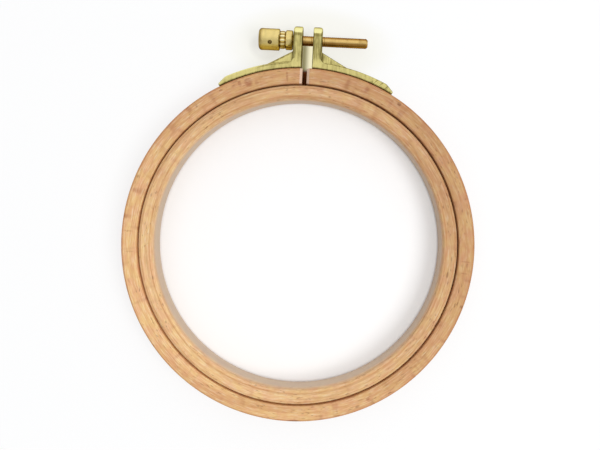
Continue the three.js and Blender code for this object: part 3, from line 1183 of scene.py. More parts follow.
@dataclass(frozen=True)
class CastSkin:
    """Where a bracket is worn or dull, and where highlights and shade are painted on it: how dull, shaded,
    worn or bright each place is, and the ramps that bound it.

    The ramps are places in millimetres, or the share of the surface's normal that points one way.
    """

    on_lug: Ramp = Ramp(-0.5, 1.5)  # heights above the strap
    side: Ramp = Ramp(0.1, 0.4)  # normals along X
    cap: Ramp = Ramp(0.3, 0.42)  # normals towards Y, of the lug's end with its painted highlight
    under_cap: Ramp = Ramp(0.08, 0.16)  # of the painted dark line below it
    rim: Ramp = Ramp(0.74, 0.86)  # of its very end, which gets painted shade
    face: Ramp = Ramp(0.88, 0.96)  # upward normals of its face
    cap_highlight: Point = (0.95, 0.8)  # how bright the cap's painted highlight is, and how much less its very end
    # how strongly painted shade darkens the lug's sides and its very end
    side_shade: float = 0.62
    rim_shade: float = 0.6
    face_shade: Point = (0.48, 0.66)  # painted shade on the left lug's face, and on the right one's
    outward: Ramp = Ramp(0.25, 0.6)  # normals away from the rings
    web_end: Ramp = Ramp(2.0, -1.0)  # distances from the web's foot
    upward: Ramp = Ramp(0.6, 0.9)  # upward normals
    corner_across: Ramp = Ramp(1.2, 0.3)  # distances from the lug, of the painted shade in its corner
    corner_above: Ramp = Ramp(0.0, 0.8)  # distances above the strap
    # how strongly the painted shade in the lug's corner shows
    corner_shade: float = 0.75
    dull_end: Ramp = Ramp(19.0, 13.0)  # places along X where the painted shade on the right strap's outside is darkest
    outward_shade: float = 0.35  # how strong that painted shade is elsewhere
    right_upper: Ramp = Ramp(22.0, 19.0)  # places along X where its upper side is dull
    right_dull: float = 0.32
    web_shade_line: float = 0.35  # how strong the painted shade line along the right web's outside is
    crease_start: Ramp = Ramp(0.02, 0.08)  # normals away from the rings, of the painted shade lines in the left web's creases
    crease_end: Ramp = Ramp(0.6, 0.45)
    left_highlight: float = 0.7  # how strong the painted highlight on the left strap's outside is
    left_upper: Ramp = Ramp(14.5, 12.0)  # places along X where its upper side is dull
    left_dull: float = 0.35
    strap_only: Ramp = Ramp(0.4, -0.1)  # heights above the strap at which that ends
    seated: Ramp = Ramp(0.0, 0.35)  # depths in the painted contact shade along the wood
    seam: Tuple[float, float, float] = (0.4, 0.4, 0.6)  # its height, how strongly it darkens the wear, and how strongly it darkens the colour


@dataclass
class Clamp:
    """The two cast brackets and their nails. Everything is modelled on the right and mirrored for the left.

    Attributes:
        bench: finishes the pieces.
        sizes: the frame's sizes.
        seat_gap: the clearance of the strap's solid on the wood, from which its lengths are measured.
        touch: the hair's breadth that is left between the cast strap and the wood.
        strap: the strap's thickness.
        strap_length: its length along the ring, from the split.
        edge: the round on the outer edges of strap and web.
        taper: the length over which it thins.
        tip: its thickness at the tip.
        lug: the lug's thickness.
        lug_round: the round on the lug's outer face.
        lug_ease: the easing on its inner face.
        web: the web's thickness.
        web_height: where the web meets the lug, above the wood.
        web_foot: where the web meets the strap, along the ring.
        root: the round between strap and lug.
        holes: the radius of each lug's hole.
        nail_shares: the nails' places, as shares of the strap between the web's foot and the taper.
        nail_head: the radius and height of a nail's head.
        nail_shank: the radius, length and point of its shank.
        nail_gap: the clearance under a nail's head.
        strap_back: how far behind the lug's inner face the strap starts.
        plate_foot: how far above the seat the lug's plate ends.
        foot_clear: how far above the seat the rounding of its edges starts.
        hole_clear: how far from its hole its rim is looked for.
        web_bite: how deep the web runs into the lug, and its foot's height in the strap.
        web_floor: how far above the seat it starts in the lug.
        foot_sink: how far its foot lies below the strap's outside.
        root_bite: how deep the round at the lug's root runs into the strap.
        nail_rim: the width and height of the chamfer under a nail's head.
        voxel: the fineness of the cast surface.
        wear_rounds: how often the wear is spread.
        wear_spread: how much of it a point takes from around it each time.
        wear_gain: how strongly it then shows.
        filed_from: the place along X from which file marks cross the metal, in metres.
        skin_marks: where the castings are worn or dull.
    """

    bench: Bench
    sizes: Measures
    seat_gap: float = 0.25
    touch: float = 0.08
    strap: float = 1.9
    strap_length: float = 28.9
    taper: float = 3.0
    tip: float = 0.7
    lug: float = 3.0
    lug_round: float = 0.8
    lug_ease: float = 0.3
    web: float = 5.0
    web_height: float = 5.7
    web_foot: float = 14.0
    edge: float = 0.55
    root: float = 1.0
    holes: Dict[Side, float] = field(default_factory=lambda: {Side.LEFT: 1.95, Side.RIGHT: 1.9})
    nail_shares: Dict[str, float] = field(default_factory=lambda: {"near": 0.31, "far": 0.8})
    nail_head: Tuple[float, float] = (1.2, 0.6)
    nail_shank: Tuple[float, float, float] = (0.6, 4.6, 1.0)
    nail_gap: float = 0.12
    strap_back: float = 0.05
    plate_foot: float = 0.02
    foot_clear: float = 0.2
    hole_clear: float = 0.5
    web_bite: float = 0.7
    web_floor: float = 0.6
    foot_sink: float = 0.05
    root_bite: float = 0.5
    nail_rim: Point = (0.08, 0.06)
    voxel: float = 0.16
    wear_rounds: int = 3
    wear_spread: float = 0.6
    wear_gain: float = 9.0
    filed_from: float = 0.017
    skin_marks: CastSkin = CastSkin()

    @property
    def seat(self) -> float:
        """The radius of the strap's seat."""
        return self.sizes.outer_radius + self.seat_gap

    @property
    def lug_face(self) -> float:
        """The place of the lug's outer face along X."""
        return self.sizes.lug_inner + self.lug

    def on_ring(self, distance: float, radius: float) -> Point:
        """The point at a distance along the seat from the split, at a radius."""
        angle = distance / self.seat
        return radius * math.sin(angle), radius * math.cos(angle)

    def add_strap(self, bm: bmesh.types.BMesh) -> None:
        """Adds the curved strap, which thins to its tip.

        Args:
            bm: the mesh that it goes into.
        """
        low, high = self.sizes.bracket_low, self.sizes.bracket_high
        start = math.asin((self.sizes.lug_inner + self.strap_back) / self.seat)
        inside, out, edge = self.sizes.outer_radius + self.touch, self.seat + self.strap, self.edge
        corners = [
            (inside, low), *arc((out - edge, low + edge), edge, -90.0, 0.0, 4),
            *arc((out - edge, high - edge), edge, 0.0, 90.0, 4), (inside, high),
        ]
        points = [Vector((r * math.sin(start), r * math.cos(start), z)) for r, z in corners]
        outline = add_outline(bm, points, True)
        spin(bm, outline, -UPWARDS, 60, self.strap_length / self.seat - start)
        bmesh.ops.holes_fill(bm, edges=[edge for edge in bm.edges if edge.is_boundary], sides=0)
        taper_start = self.strap_length - self.taper
        for vert in bm.verts:
            distance = math.atan2(vert.co.x, vert.co.y) * self.seat
            radius = math.hypot(vert.co.x, vert.co.y)
            share = (distance - taper_start) / self.taper
            if share > 0.0 and radius > self.seat:
                thickness = (radius - self.seat) * (1.0 + (self.tip / self.strap - 1.0) * share)
                vert.co.xy = Vector(self.on_ring(distance, self.seat + thickness))

    def lug_plate(self, hole: float) -> bpy.types.Mesh:
        """Makes the upright lug with its round end and its hole.

        Args:
            hole: the hole's radius.

        Returns:
            The lug's mesh.
        """
        half = (self.sizes.bracket_high - self.sizes.bracket_low) / 2.0
        foot = self.sizes.screw_y - self.seat - self.plate_foot
        corner = math.atan2(half, foot)
        angles = [TURN * step / 96 for step in range(96)] + [math.pi - corner, math.pi + corner]
        bm = bmesh.new()
        rims = []
        for outer in (True, False):
            points = []
            for angle in sorted(angles):
                up, out = math.cos(angle), abs(math.sin(angle))
                reach = half if outer else hole
                if outer and up < 0.0:
                    reach = min(half / max(out, SPECK), foot / abs(up))
                points.append(Vector((
                    self.sizes.lug_inner,
                    self.sizes.screw_y + reach * up,
                    self.sizes.middle + reach * math.sin(angle),
                )))
            rims += [part for part in add_outline(bm, points, True) if isinstance(part, bmesh.types.BMEdge)]
        faces = bmesh.ops.bridge_loops(bm, edges=rims)["faces"]
        moved = bmesh.ops.extrude_face_region(bm, geom=faces)["geom"]
        verts = [part for part in moved if isinstance(part, bmesh.types.BMVert)]
        bmesh.ops.translate(bm, verts=verts, vec=(self.lug, 0.0, 0.0))
        bmesh.ops.recalc_face_normals(bm, faces=bm.faces[:])
        rounds = ((self.lug_face, self.lug_round, 5), (self.sizes.lug_inner, self.lug_ease, 2))
        for plane, offset, segments in rounds:
            rim = [edge for edge in bm.edges if self._on_rim(edge, plane, hole)]
            bmesh.ops.bevel(bm, geom=rim, offset=offset, segments=segments, profile=0.5,
                            affect="EDGES", material=-1, offset_type="OFFSET", clamp_overlap=True)
        mesh = bpy.data.meshes.new("lug")
        bm.to_mesh(mesh)
        bm.free()
        return mesh

    def _on_rim(self, edge: bmesh.types.BMEdge, plane: float, hole: float) -> bool:
        """Tells whether an edge is on the outline of one of the lug's faces, and clear of its foot.

        Args:
            edge: the edge.
            plane: the face's place along X.
            hole: the radius of the lug's hole.

        Returns:
            Whether it is.
        """
        for vert in edge.verts:
            out = math.hypot(vert.co.y - self.sizes.screw_y, vert.co.z - self.sizes.middle)
            if abs(vert.co.x - plane) > TOLERANCE or out < hole + self.hole_clear:
                return False
            if vert.co.y < self.seat + self.foot_clear:
                return False
        return True

    def add_web(self, bm: bmesh.types.BMesh) -> None:
        """Adds the web between lug and strap, and the round at the lug's root.

        Args:
            bm: the mesh that they go into.
        """
        inside, strap_top = self.lug_face - self.web_bite, self.seat + self.strap
        top = self.sizes.outer_radius + self.web_height
        outline = [
            (inside, self.seat + self.web_floor), (inside, top), (self.lug_face, top),
            self.on_ring(self.web_foot, strap_top - self.foot_sink),
            self.on_ring(self.web_foot, self.seat + self.web_bite),
        ]
        half = self.web / 2.0
        add_prism(bm, outline, self.sizes.middle - half, self.sizes.middle + half)
        slope = [Vector((x, y)) for x, y in outline[2:4]]
        rim = [edge for edge in bm.edges if self._is_slope(edge, slope)]
        bmesh.ops.bevel(bm, geom=rim, offset=self.edge, segments=4, profile=0.5, affect="EDGES", material=-1,
                        offset_type="OFFSET", clamp_overlap=True)
        centre_x = self.lug_face + self.root
        floor = math.sqrt(strap_top ** 2 - centre_x ** 2)
        cove = arc((centre_x, floor + self.root), self.root, 180.0, 270.0, 8)
        bottom = floor - self.root_bite
        corner = [(centre_x, bottom), (inside, bottom), (inside, floor + self.root)]
        add_prism(bm, [*cove, *corner], self.sizes.bracket_low, self.sizes.bracket_high)

    def _is_slope(self, edge: bmesh.types.BMEdge, slope: Sequence[Vector]) -> bool:
        """Tells whether an edge runs flat along the web's outer edge.

        Args:
            edge: the edge.
            slope: the ends of the web's outer edge, seen from above.

        Returns:
            Whether it does.
        """
        first, second = (vert.co for vert in edge.verts)
        if abs(first.z - second.z) > TOLERANCE:
            return False
        ends = sorted((first.xy, second.xy), key=lambda point: point.x)
        return all((end - wanted).length < TOLERANCE for end, wanted in zip(ends, slope))

    def build_bracket(self, side: Side) -> bpy.types.Object:
        """Builds one bracket as a single casting.

        Args:
            side: its side of the split.

        Returns:
            The piece.
        """
        bm = bmesh.new()
        self.add_strap(bm)
        self.add_web(bm)
        lug = self.lug_plate(self.holes[side])
        bm.from_mesh(lug)
        bpy.data.meshes.remove(lug)
        if side is Side.LEFT:
            bmesh.ops.scale(bm, verts=bm.verts[:], vec=(-1.0, 1.0, 1.0))
        cast = self.bench.fuse(bm, self.voxel, 9)
        self.add_wear(cast)
        return self.bench.finish(cast, f"cast_bracket_{side.word}", sharp=75.0)

    def add_wear(self, bm: bmesh.types.BMesh) -> None:
        """Writes edge_wear, how far each point stands out of its surroundings, with painted highlights and
        shade lines, and dulled, for duller skin and painted shade.

        Args:
            bm: the casting.
        """
        bm.normal_update()
        wear_and_light = bm.verts.layers.float.new("edge_wear")
        dulled = bm.verts.layers.float.new("dulled")
        lift = {}
        for vert in bm.verts:
            around = [edge.other_vert(vert).co for edge in vert.link_edges]
            middle = sum(around, Vector()) / len(around)
            lift[vert] = (vert.co - middle).dot(vert.normal) / self.voxel
        for _ in range(self.wear_rounds):
            lift = {
                vert: (1.0 - self.wear_spread) * value
                + self.wear_spread * sum(lift[edge.other_vert(vert)] for edge in vert.link_edges)
                / len(vert.link_edges)
                for vert, value in lift.items()
            }
        for vert, value in lift.items():
            worn_and_highlight = max(-1.0, min(1.0, value * self.wear_gain))
            vert[wear_and_light], vert[dulled] = self.skin(vert.co, vert.normal, worn_and_highlight)

    def skin(self, place: Vector, normal: Vector, worn_and_highlight: float) -> Tuple[float, float]:
        """How worn and how dull the casting is at one point, with its painted highlights and shade.

        Args:
            place: the point.
            normal: the surface's normal there.
            worn_and_highlight: how far it stands out of its surroundings, from -1 to 1.

        Returns:
            The wear with painted light, from -1 to 1, and the dullness with painted shade, from 0 to 1.
        """
        marks = self.skin_marks
        on_lug = abs(place.x) < self.lug_face + 0.1
        wear_and_light, dullness_and_shade = (self._lug_skin if on_lug else self._strap_skin)(place, normal, worn_and_highlight)
        # Painted contact shade along the seam where the strap meets the wood.
        above, grooved, dull_and_shade = marks.seam
        seated = marks.seated.share(self.seat + above - math.hypot(place.x, place.y))
        return wear_and_light * (1.0 - seated) - grooved * seated, max(dullness_and_shade, dull_and_shade * seated)

    def _lug_skin(self, place: Vector, normal: Vector, worn_and_highlight: float) -> Point:
        """Finds how worn and how dull a lug is at one point, with the painted highlight and shade on its end,
        sides and face.

        Args:
            place: the point.
            normal: the surface's normal there.
            worn_and_highlight: how far it stands out of its surroundings, from -1 to 1.

        Returns:
            The wear with painted light, and the dullness with painted shade.
        """
        marks = self.skin_marks
        on_lug = marks.on_lug.moved(self.seat + self.strap).share(place.y)
        # Painted highlight on the lug's round end, with painted shade below it, on its sides, on its face and
        # at its very end.
        side = marks.side.share(abs(normal.x))
        cap = marks.cap.share(normal.y) * on_lug
        under_cap = marks.under_cap.share(normal.y) * (1.0 - cap) * on_lug
        rim = marks.rim.share(normal.y) * on_lug
        face = marks.face.share(normal.z) * on_lug
        bright, less = marks.cap_highlight
        wear_and_light = max(worn_and_highlight * (1.0 - side), (bright - less * rim) * cap) * (1.0 - under_cap)
        dullness_and_shade = max(marks.side_shade * side, under_cap, marks.rim_shade * rim)
        return wear_and_light, max(dullness_and_shade, marks.face_shade[place.x > 0.0] * face)

    def _strap_skin(self, place: Vector, normal: Vector, worn_and_highlight: float) -> Point:
        """Finds how worn and how dull a strap or web is at one point, with painted highlights and shade on
        its edges and in its corner.

        Args:
            place: the point.
            normal: the surface's normal there.
            worn_and_highlight: how far it stands out of its surroundings, from -1 to 1.

        Returns:
            The wear with painted light, and the dullness with painted shade.
        """
        marks = self.skin_marks
        across, radius, strap_top = abs(place.x), math.hypot(place.x, place.y), self.seat + self.strap
        out = normal.dot(Vector((place.x, place.y, 0.0)).normalized())
        outward = marks.outward.share(out)
        on_web = marks.web_end.moved(self.web_foot).share(across)
        upward = marks.upward.share(normal.z)
        corner = marks.corner_across.moved(self.lug_face).share(across)
        corner *= marks.corner_above.moved(strap_top).share(radius)
        if place.x > 0.0:
            # Painted shade on the right strap's outside and along its web's edge, and in the corner by the
            # lug.
            wear_and_light = worn_and_highlight * (1.0 - outward) - marks.web_shade_line * outward * on_web
            outward_shade = marks.outward_shade + (1.0 - marks.outward_shade) * marks.dull_end.share(across)
            upper_dull = marks.right_dull * marks.right_upper.share(across)
            dullness_and_shade = max(outward_shade * outward, upper_dull * upward)
        else:
            # Painted shade lines in the left web's creases, and a painted highlight on the left strap's
            # outside.
            crease = marks.crease_start.share(out) * marks.crease_end.share(out) * on_web
            wear_and_light = max(worn_and_highlight, marks.left_highlight * outward) * (1.0 - crease)
            on_strap = marks.strap_only.moved(strap_top).share(radius)
            dullness_and_shade = max(crease, marks.left_dull * marks.left_upper.share(across) * upward * on_strap)
        return wear_and_light, max(dullness_and_shade, marks.corner_shade * corner)

    def build_nail(self, side: Side, place: str) -> bpy.types.Object:
        """Builds one round-headed nail, driven through the strap.

        Args:
            side: its side of the split.
            place: its place on the strap, near or far.

        Returns:
            The piece.
        """
        head, height = self.nail_head
        shank, length, point = self.nail_shank
        bm = bmesh.new()
        under, rim = self.nail_rim
        dome = [(head * math.cos(angle), height * math.sin(angle))
                for angle in (math.radians(step * 9.0) for step in range(11))]
        profile = [(0.0, -length - point), (shank, -length), (shank, 0.0), (head - under, 0.0), (head, rim)]
        profile += [(radius, rim + rise * (height - rim) / height) for radius, rise in dome[1:]]
        outline = add_outline(bm, [Vector((radius, rise, 0.0)) for radius, rise in profile], False)
        spin(bm, outline, ALONG_Y, 40)
        distance = self.web_foot + self.nail_shares[place] * (self.strap_length - self.taper - self.web_foot)
        angle = distance / self.seat * side.value
        radius = self.seat + self.strap + self.nail_gap
        turn = Matrix.Rotation(-angle, 4, "Z")
        turn.translation = (radius * math.sin(angle), radius * math.cos(angle), self.sizes.middle)
        bmesh.ops.transform(bm, matrix=turn, verts=bm.verts[:])
        return self.bench.finish(bm, f"dome_nail_{side.word}_{place}", sharp=50.0)

    def build(self) -> None:
        """Builds both brackets and the four nails."""
        cast = BrassFinish(
            name="cast_brass", colour=(0.72, 0.63, 0.245), tarnish_and_shade=(0.3, 0.25, 0.08), worn_and_highlight=(0.98, 0.92, 0.43),
            glancing=(0.5, 0.45, 0.3), roughness=0.22, grain=Grain.CAST, tarnished=0.3, has_wear_and_sheen=True,
            filed_from=self.filed_from,
        ).make()
        drawn = BrassFinish(
            name="drawn_brass", colour=(0.78, 0.6, 0.26), tarnish_and_shade=(0.4, 0.28, 0.09), worn_and_highlight=(0.8, 0.7, 0.35),
            glancing=(0.8, 0.7, 0.5), roughness=0.22, grain=Grain.DRAWN, tarnished=0.4,
        ).make()
        for side in Side:
            bracket = self.build_bracket(side)
            dress(bracket, cast, f"{side.word}_bracket")
            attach(bracket, side.body)
            for place in self.nail_shares:
                nail = self.build_nail(side, place)
                dress(nail, drawn, f"{side.word}_nail_{place}")
                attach(nail, side.body)


@dataclass
class Thumbscrew:
    """The threaded rod with its knurled knob and cross pin, all turned about the screw's axis.

    Attributes:
        bench: finishes the pieces.
        sizes: the frame's sizes.
        pitch: the thread's pitch.
        thread_depth: its depth.
        thread_root: half the flat at its root, as a share of the pitch.
        thread_crest: where the flat at its crest starts and ends, in the same way.
        thread_steps: how many steps make a turn.
        thread_weld: how near the helix's edges have to meet.
        spare: how many turns are cut off in the knob.
        hidden_end: how far the rod's end in the knob is drawn in.
        tip_chamfer: the chamfer at the rod's tip.
        barrel_round: the round at its free end.
        waist: the waist's radius and length.
        collar: the collar's radius and length.
        chamfer: the chamfer on the knob's edges.
        round_steps: how many steps the round at the free end has.
        dish: the shallow dish in that end, as depth and radius.
        barrel_pitch: how far apart the points along the barrel are.
        waist_pitch: the same along the waist.
        bore_gap: the clearance of the bore.
        knurls: how many knurls go round.
        knurl_depth: their depth.
        flutes: how many flutes the waist has.
        flute_depth: their depth.
        bead_drop: how far the beads between the flutes round off towards their ends.
        bead_highlight: how fast a bead's painted highlight is lost towards its flutes, and the least that is
            left, which paints shade in the flutes.
        knurl_fade: over what length the knurls fade out at the barrel's ends.
        knurl_crest: the height at which a knurl is cut flat, as a share of its depth.
        end_shade: the distances from the round end over which it gets painted shade.
        near: how near a point has to be to count as on the barrel or the waist.
        pin_radius: the cross pin's radius.
        pin_recess: how far its ends lie below the barrel.
        pin_turn: how far it is turned from upright, in degrees.
        pin_gap: the clearance of its hole.
        pin_end: the curve of its ends, as depth and as a share of its radius.
        drill_depth: how deep below the barrel its hole is looked for.
    """

    bench: Bench
    sizes: Measures
    pitch: float = 0.635
    thread_depth: float = 0.06
    thread_root: float = 0.1
    thread_crest: Point = (0.4, 0.6)
    thread_steps: int = 36
    thread_weld: float = 0.002
    spare: float = 1.5
    hidden_end: float = 0.97
    tip_chamfer: float = 0.5
    barrel_round: float = 1.0
    waist: Tuple[float, float] = (2.85, 1.85)
    collar: Tuple[float, float] = (3.15, 2.4)
    chamfer: float = 0.3
    round_steps: int = 8
    dish: Tuple[Point, ...] = ((0.12, 0.0), (0.1, 1.2), (0.0, 1.7), (0.0, 2.3))
    barrel_pitch: float = 0.078
    waist_pitch: float = 0.15
    bore_gap: float = 0.12
    knurls: int = 30
    knurl_depth: float = 0.1
    flutes: int = 12
    flute_depth: float = 0.22
    bead_drop: float = 0.2
    bead_highlight: Point = (1.8, -0.8)
    knurl_fade: float = 0.3
    knurl_crest: float = 0.9
    end_shade: Ramp = Ramp(0.5, -0.3)
    near: float = 0.01
    pin_radius: float = 0.5
    pin_recess: float = 0.4
    pin_turn: float = 28.0
    pin_gap: float = 0.12
    pin_end: Tuple[Point, ...] = ((0.14, 1.0), (0.05, 0.86), (0.01, 0.5), (0.0, 0.0))
    drill_depth: float = 0.3

    @property
    def collar_start(self) -> float:
        """Where the waist ends and the collar starts."""
        return self.sizes.knob_end - self.collar[1]

    @property
    def barrel_end(self) -> float:
        """Where the barrel ends and the waist starts."""
        return self.collar_start - self.waist[1]

    def set_on_axis(self, bm: bmesh.types.BMesh) -> None:
        """Moves a piece that was turned about X to the screw's axis."""
        bmesh.ops.translate(bm, verts=bm.verts[:], vec=(0.0, self.sizes.screw_y, self.sizes.middle))

    def build_rod(self) -> bpy.types.Object:
        """Builds the rod: a helix of one pitch's profile, cut square, with a chamfered tip.

        Returns:
            The piece.
        """
        bm = bmesh.new()
        crest = self.sizes.rod_radius
        root = crest - self.thread_depth
        (crest_start, crest_end), flat = self.thread_crest, self.thread_root
        shape = [(0.0, root), (flat, root), (crest_start, crest),
                 (crest_end, crest), (1.0 - flat, root), (1.0, root)]
        start = self.sizes.knob_end - 2.0 * self.spare * self.pitch
        turns = math.ceil((self.sizes.rod_end - start) / self.pitch) + 2
        points = [Vector((start + share * self.pitch, 0.0, radius)) for share, radius in shape]
        spin(bm, add_outline(bm, points, False), ALONG_X, self.thread_steps * turns, TURN * turns,
             self.pitch / self.thread_steps)
        bmesh.ops.remove_doubles(bm, verts=bm.verts[:], dist=self.thread_weld)
        left_end = self._cut(bm, start + self.spare * self.pitch, -1.0)
        self._run_on(bm, left_end, self.sizes.rod_start, self.hidden_end)
        right_end = self._cut(bm, self.sizes.rod_end - self.tip_chamfer, 1.0)
        self._run_on(bm, right_end, self.sizes.rod_end, (crest - self.tip_chamfer) / crest)
        self.set_on_axis(bm)
        return self.bench.finish(bm, "threaded_rod", sharp=40.0)

    def _cut(self, bm: bmesh.types.BMesh, x: float, side: float) -> List[bmesh.types.BMEdge]:
        """Cuts the helix square and takes away what lies beyond.

        Args:
            bm: the helix.
            x: the place of the cut.
            side: the sign of X on the side that goes.

        Returns:
            The new rim.
        """
        bmesh.ops.bisect_plane(bm, geom=[*bm.verts, *bm.edges, *bm.faces], dist=1e-5,
                               plane_co=(x, 0, 0), plane_no=(side, 0, 0), clear_outer=True)
        return [edge for edge in bm.edges
                if edge.is_boundary and all(abs(vert.co.x - x) < 1e-3 for vert in edge.verts)]

    def _run_on(self, bm: bmesh.types.BMesh, rim: List[bmesh.types.BMEdge], x: float, scale: float) -> None:
        """Runs a rim on and closes it.

        Args:
            bm: the mesh that it is in.
            rim: the rim.
            x: how far it is run on.
            scale: the factor that it is drawn in by.
        """
        made = bmesh.ops.extrude_edge_only(bm, edges=rim)["geom"]
        for vert in (part for part in made if isinstance(part, bmesh.types.BMVert)):
            vert.co = Vector((x, vert.co.y * scale, vert.co.z * scale))
        end = [part for part in made if isinstance(part, bmesh.types.BMEdge)]
        bmesh.ops.holes_fill(bm, edges=end, sides=0)

    def knob_profile(self) -> List[Point]:
        """Draws the knob's profile, from its free end to the bottom of its bore.

        Returns:
            The profile, as place along X and radius.
        """
        start, end = self.sizes.knob_start, self.sizes.knob_end
        barrel_end, collar_start = self.barrel_end, self.collar_start
        radius, small = self.sizes.barrel_radius, self.chamfer
        collar_radius, waist_radius = self.collar[0], self.waist[0]
        bore = self.sizes.rod_radius + self.bore_gap
        bottom = self.sizes.rod_start - self.bore_gap
        angles = (math.radians(step * 90.0 / self.round_steps) for step in range(self.round_steps + 1))
        barrel = spaced(start + self.barrel_round, barrel_end - small, self.barrel_pitch)[1:]
        return [
            *((start + depth, out) for depth, out in self.dish),
            *((start + self.barrel_round * (1.0 - math.cos(angle)),
               radius - self.barrel_round * (1.0 - math.sin(angle))) for angle in angles),
            *((x, radius) for x in barrel),
            (barrel_end - small, radius), (barrel_end, radius - small),
            *((x, waist_radius) for x in spaced(barrel_end, collar_start, self.waist_pitch)),
            (collar_start, waist_radius), (collar_start, collar_radius - small),
            (collar_start + small, collar_radius), (end - small, collar_radius),
            (end, collar_radius - small), (end, bore), (bottom, bore), (bottom, 0.0),
        ]

    def build_knob(self) -> bpy.types.Object:
        """Builds the knob: turned, then knurled, fluted and drilled for the pin.

        Returns:
            The piece.
        """
        bm = bmesh.new()
        outline = add_outline(bm, [Vector((x, 0.0, radius)) for x, radius in self.knob_profile()], False)
        spin(bm, outline, ALONG_X, self.knurls * 8)
        wear_and_light = bm.verts.layers.float.new("edge_wear")
        dulled = bm.verts.layers.float.new("dulled")
        for vert in bm.verts:
            vert[wear_and_light], vert[dulled] = self._work_knob(vert)
        self.set_on_axis(bm)
        return self.bench.finish(bm, "knurled_knob", sharp=45.0)

    def _work_knob(self, vert: bmesh.types.BMVert) -> Tuple[float, float]:
        """Knurls the barrel, flutes the waist and sinks the pin's hole at one point.

        Args:
            vert: the point.

        Returns:
            Its wear and painted light, from -1 in a flute or the pin's hole, as painted shade, to 1 on a
            bead, as painted highlight, and its painted shade, from 0 to 1 at the free end.
        """
        x, radius = vert.co.x, math.hypot(vert.co.y, vert.co.z)
        if radius < TOLERANCE:
            return 0.0, 1.0
        start, end = self.sizes.knob_start + self.barrel_round, self.barrel_end - self.chamfer
        near, barrel = self.near, self.sizes.barrel_radius
        around = math.atan2(vert.co.z, vert.co.y) / TURN
        depth = wear_and_light = 0.0
        if start - 2.0 * near < x < end + 2.0 * near and radius > barrel - near:
            depth = self._knurl(x - start, end - x, around)
        elif self.barrel_end - near < x < self.collar_start + near and abs(radius - self.waist[0]) < near:
            # Painted highlights on the beads and painted shade in the flutes.
            depth, wear_and_light = self._flute(x, around)
        turn = math.radians(self.pin_turn)
        off_axis = math.hypot(x - self.sizes.pin_x, vert.co.y * math.cos(turn) + vert.co.z * math.sin(turn))
        # Painted shade in the pin's hole.
        if off_axis < self.pin_radius + self.pin_gap and radius > barrel - self.drill_depth:
            depth, wear_and_light = 2.0 * self.pin_recess, -1.0
        scale = (radius - depth) / radius
        vert.co = Vector((x, vert.co.y * scale, vert.co.z * scale))
        return wear_and_light, self.end_shade.share(x - start)

    def _knurl(self, from_start: float, from_end: float, around: float) -> float:
        """Finds how deep the knurls are at one point of the barrel.

        Args:
            from_start: how far the point is from the barrel's round.
            from_end: how far it is from the barrel's chamfer.
            around: how far round the knob it is, in turns.

        Returns:
            The depth.
        """
        fade = max(0.0, min(1.0, from_start / self.knurl_fade, from_end / self.knurl_fade))
        lead = from_start * self.knurls / (TURN * self.sizes.barrel_radius)
        grooves = (abs(2.0 * ((around * self.knurls + sign * lead) % 1.0) - 1.0) for sign in (1.0, -1.0))
        return self.knurl_depth * fade * min(self.knurl_crest, max(grooves))

    def _flute(self, x: float, around: float) -> Point:
        """Finds how deep the flutes are at one point of the waist.

        Args:
            x: the point's place along the screw.
            around: how far round the knob it is, in turns.

        Returns:
            The depth, and the painted highlight on the bead or the painted shade in the flute.
        """
        groove = 0.5 - 0.5 * math.cos(TURN * around * self.flutes + math.pi)
        from_middle = abs(2.0 * (x - self.barrel_end) / self.waist[1] - 1.0)
        loss, least = self.bead_highlight
        depth = self.flute_depth * groove + self.bead_drop * from_middle ** 3
        return depth, max(least, 1.0 - loss * groove - from_middle ** 3)

    def build_pin(self) -> bpy.types.Object:
        """Builds the cross pin, with slightly domed ends.

        Returns:
            The piece.
        """
        bm = bmesh.new()
        half = self.sizes.barrel_radius - self.pin_recess
        end = [(half - depth, self.pin_radius * share) for depth, share in self.pin_end]
        profile = [(-place, out) for place, out in reversed(end)] + end
        outline = add_outline(bm, [Vector((out, 0.0, place)) for place, out in profile], False)
        spin(bm, outline, UPWARDS, 28)
        turn = Matrix.Rotation(math.radians(self.pin_turn), 4, "X")
        turn.translation = (self.sizes.pin_x, self.sizes.screw_y, self.sizes.middle)
        bmesh.ops.transform(bm, matrix=turn, verts=bm.verts[:])
        return self.bench.finish(bm, "knob_cross_pin", sharp=50.0)

    def build(self) -> None:
        """Builds the rod, the knob and the pin."""
        axis = ((self.sizes.screw_y + self.sizes.centre_y) * MM, self.sizes.middle * MM)
        threaded = BrassFinish(
            name="threaded_brass", colour=(0.8, 0.55, 0.2), tarnish_and_shade=(0.42, 0.26, 0.07), worn_and_highlight=(0.8, 0.6, 0.3),
            glancing=(0.1, 0.05, 0.02), roughness=0.24, grain=Grain.TURNED, tarnished=0.45,
            axis=axis, flank_shade=Ramp(0.99, 0.88), shade=0.8, lean=0.05,
        ).make()
        turned = BrassFinish(
            name="turned_brass", colour=(0.88, 0.7, 0.28), tarnish_and_shade=(0.5, 0.36, 0.12), worn_and_highlight=(1.0, 0.9, 0.56),
            glancing=(0.1, 0.06, 0.02), roughness=0.22, grain=Grain.TURNED, tarnished=0.35, has_wear_and_sheen=True,
            axis=axis,
        ).make()
        dark = BrassFinish(
            name="dark_brass", colour=(0.3, 0.21, 0.07), tarnish_and_shade=(0.12, 0.08, 0.03), worn_and_highlight=(0.4, 0.3, 0.12),
            glancing=(0.5, 0.4, 0.3), roughness=0.4, grain=Grain.DRAWN, tarnished=0.5,
        ).make()
        pieces = (
            (self.build_rod(), threaded, "screw_rod", "screw_brass"),
            (self.build_knob(), turned, "screw_knob", "screw_brass"),
            (self.build_pin(), dark, "knob_pin", "pin_brass"),
        )
        for piece, material, node, slot in pieces:
            dress(piece, material, node)
            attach(piece, "thumbscrew")


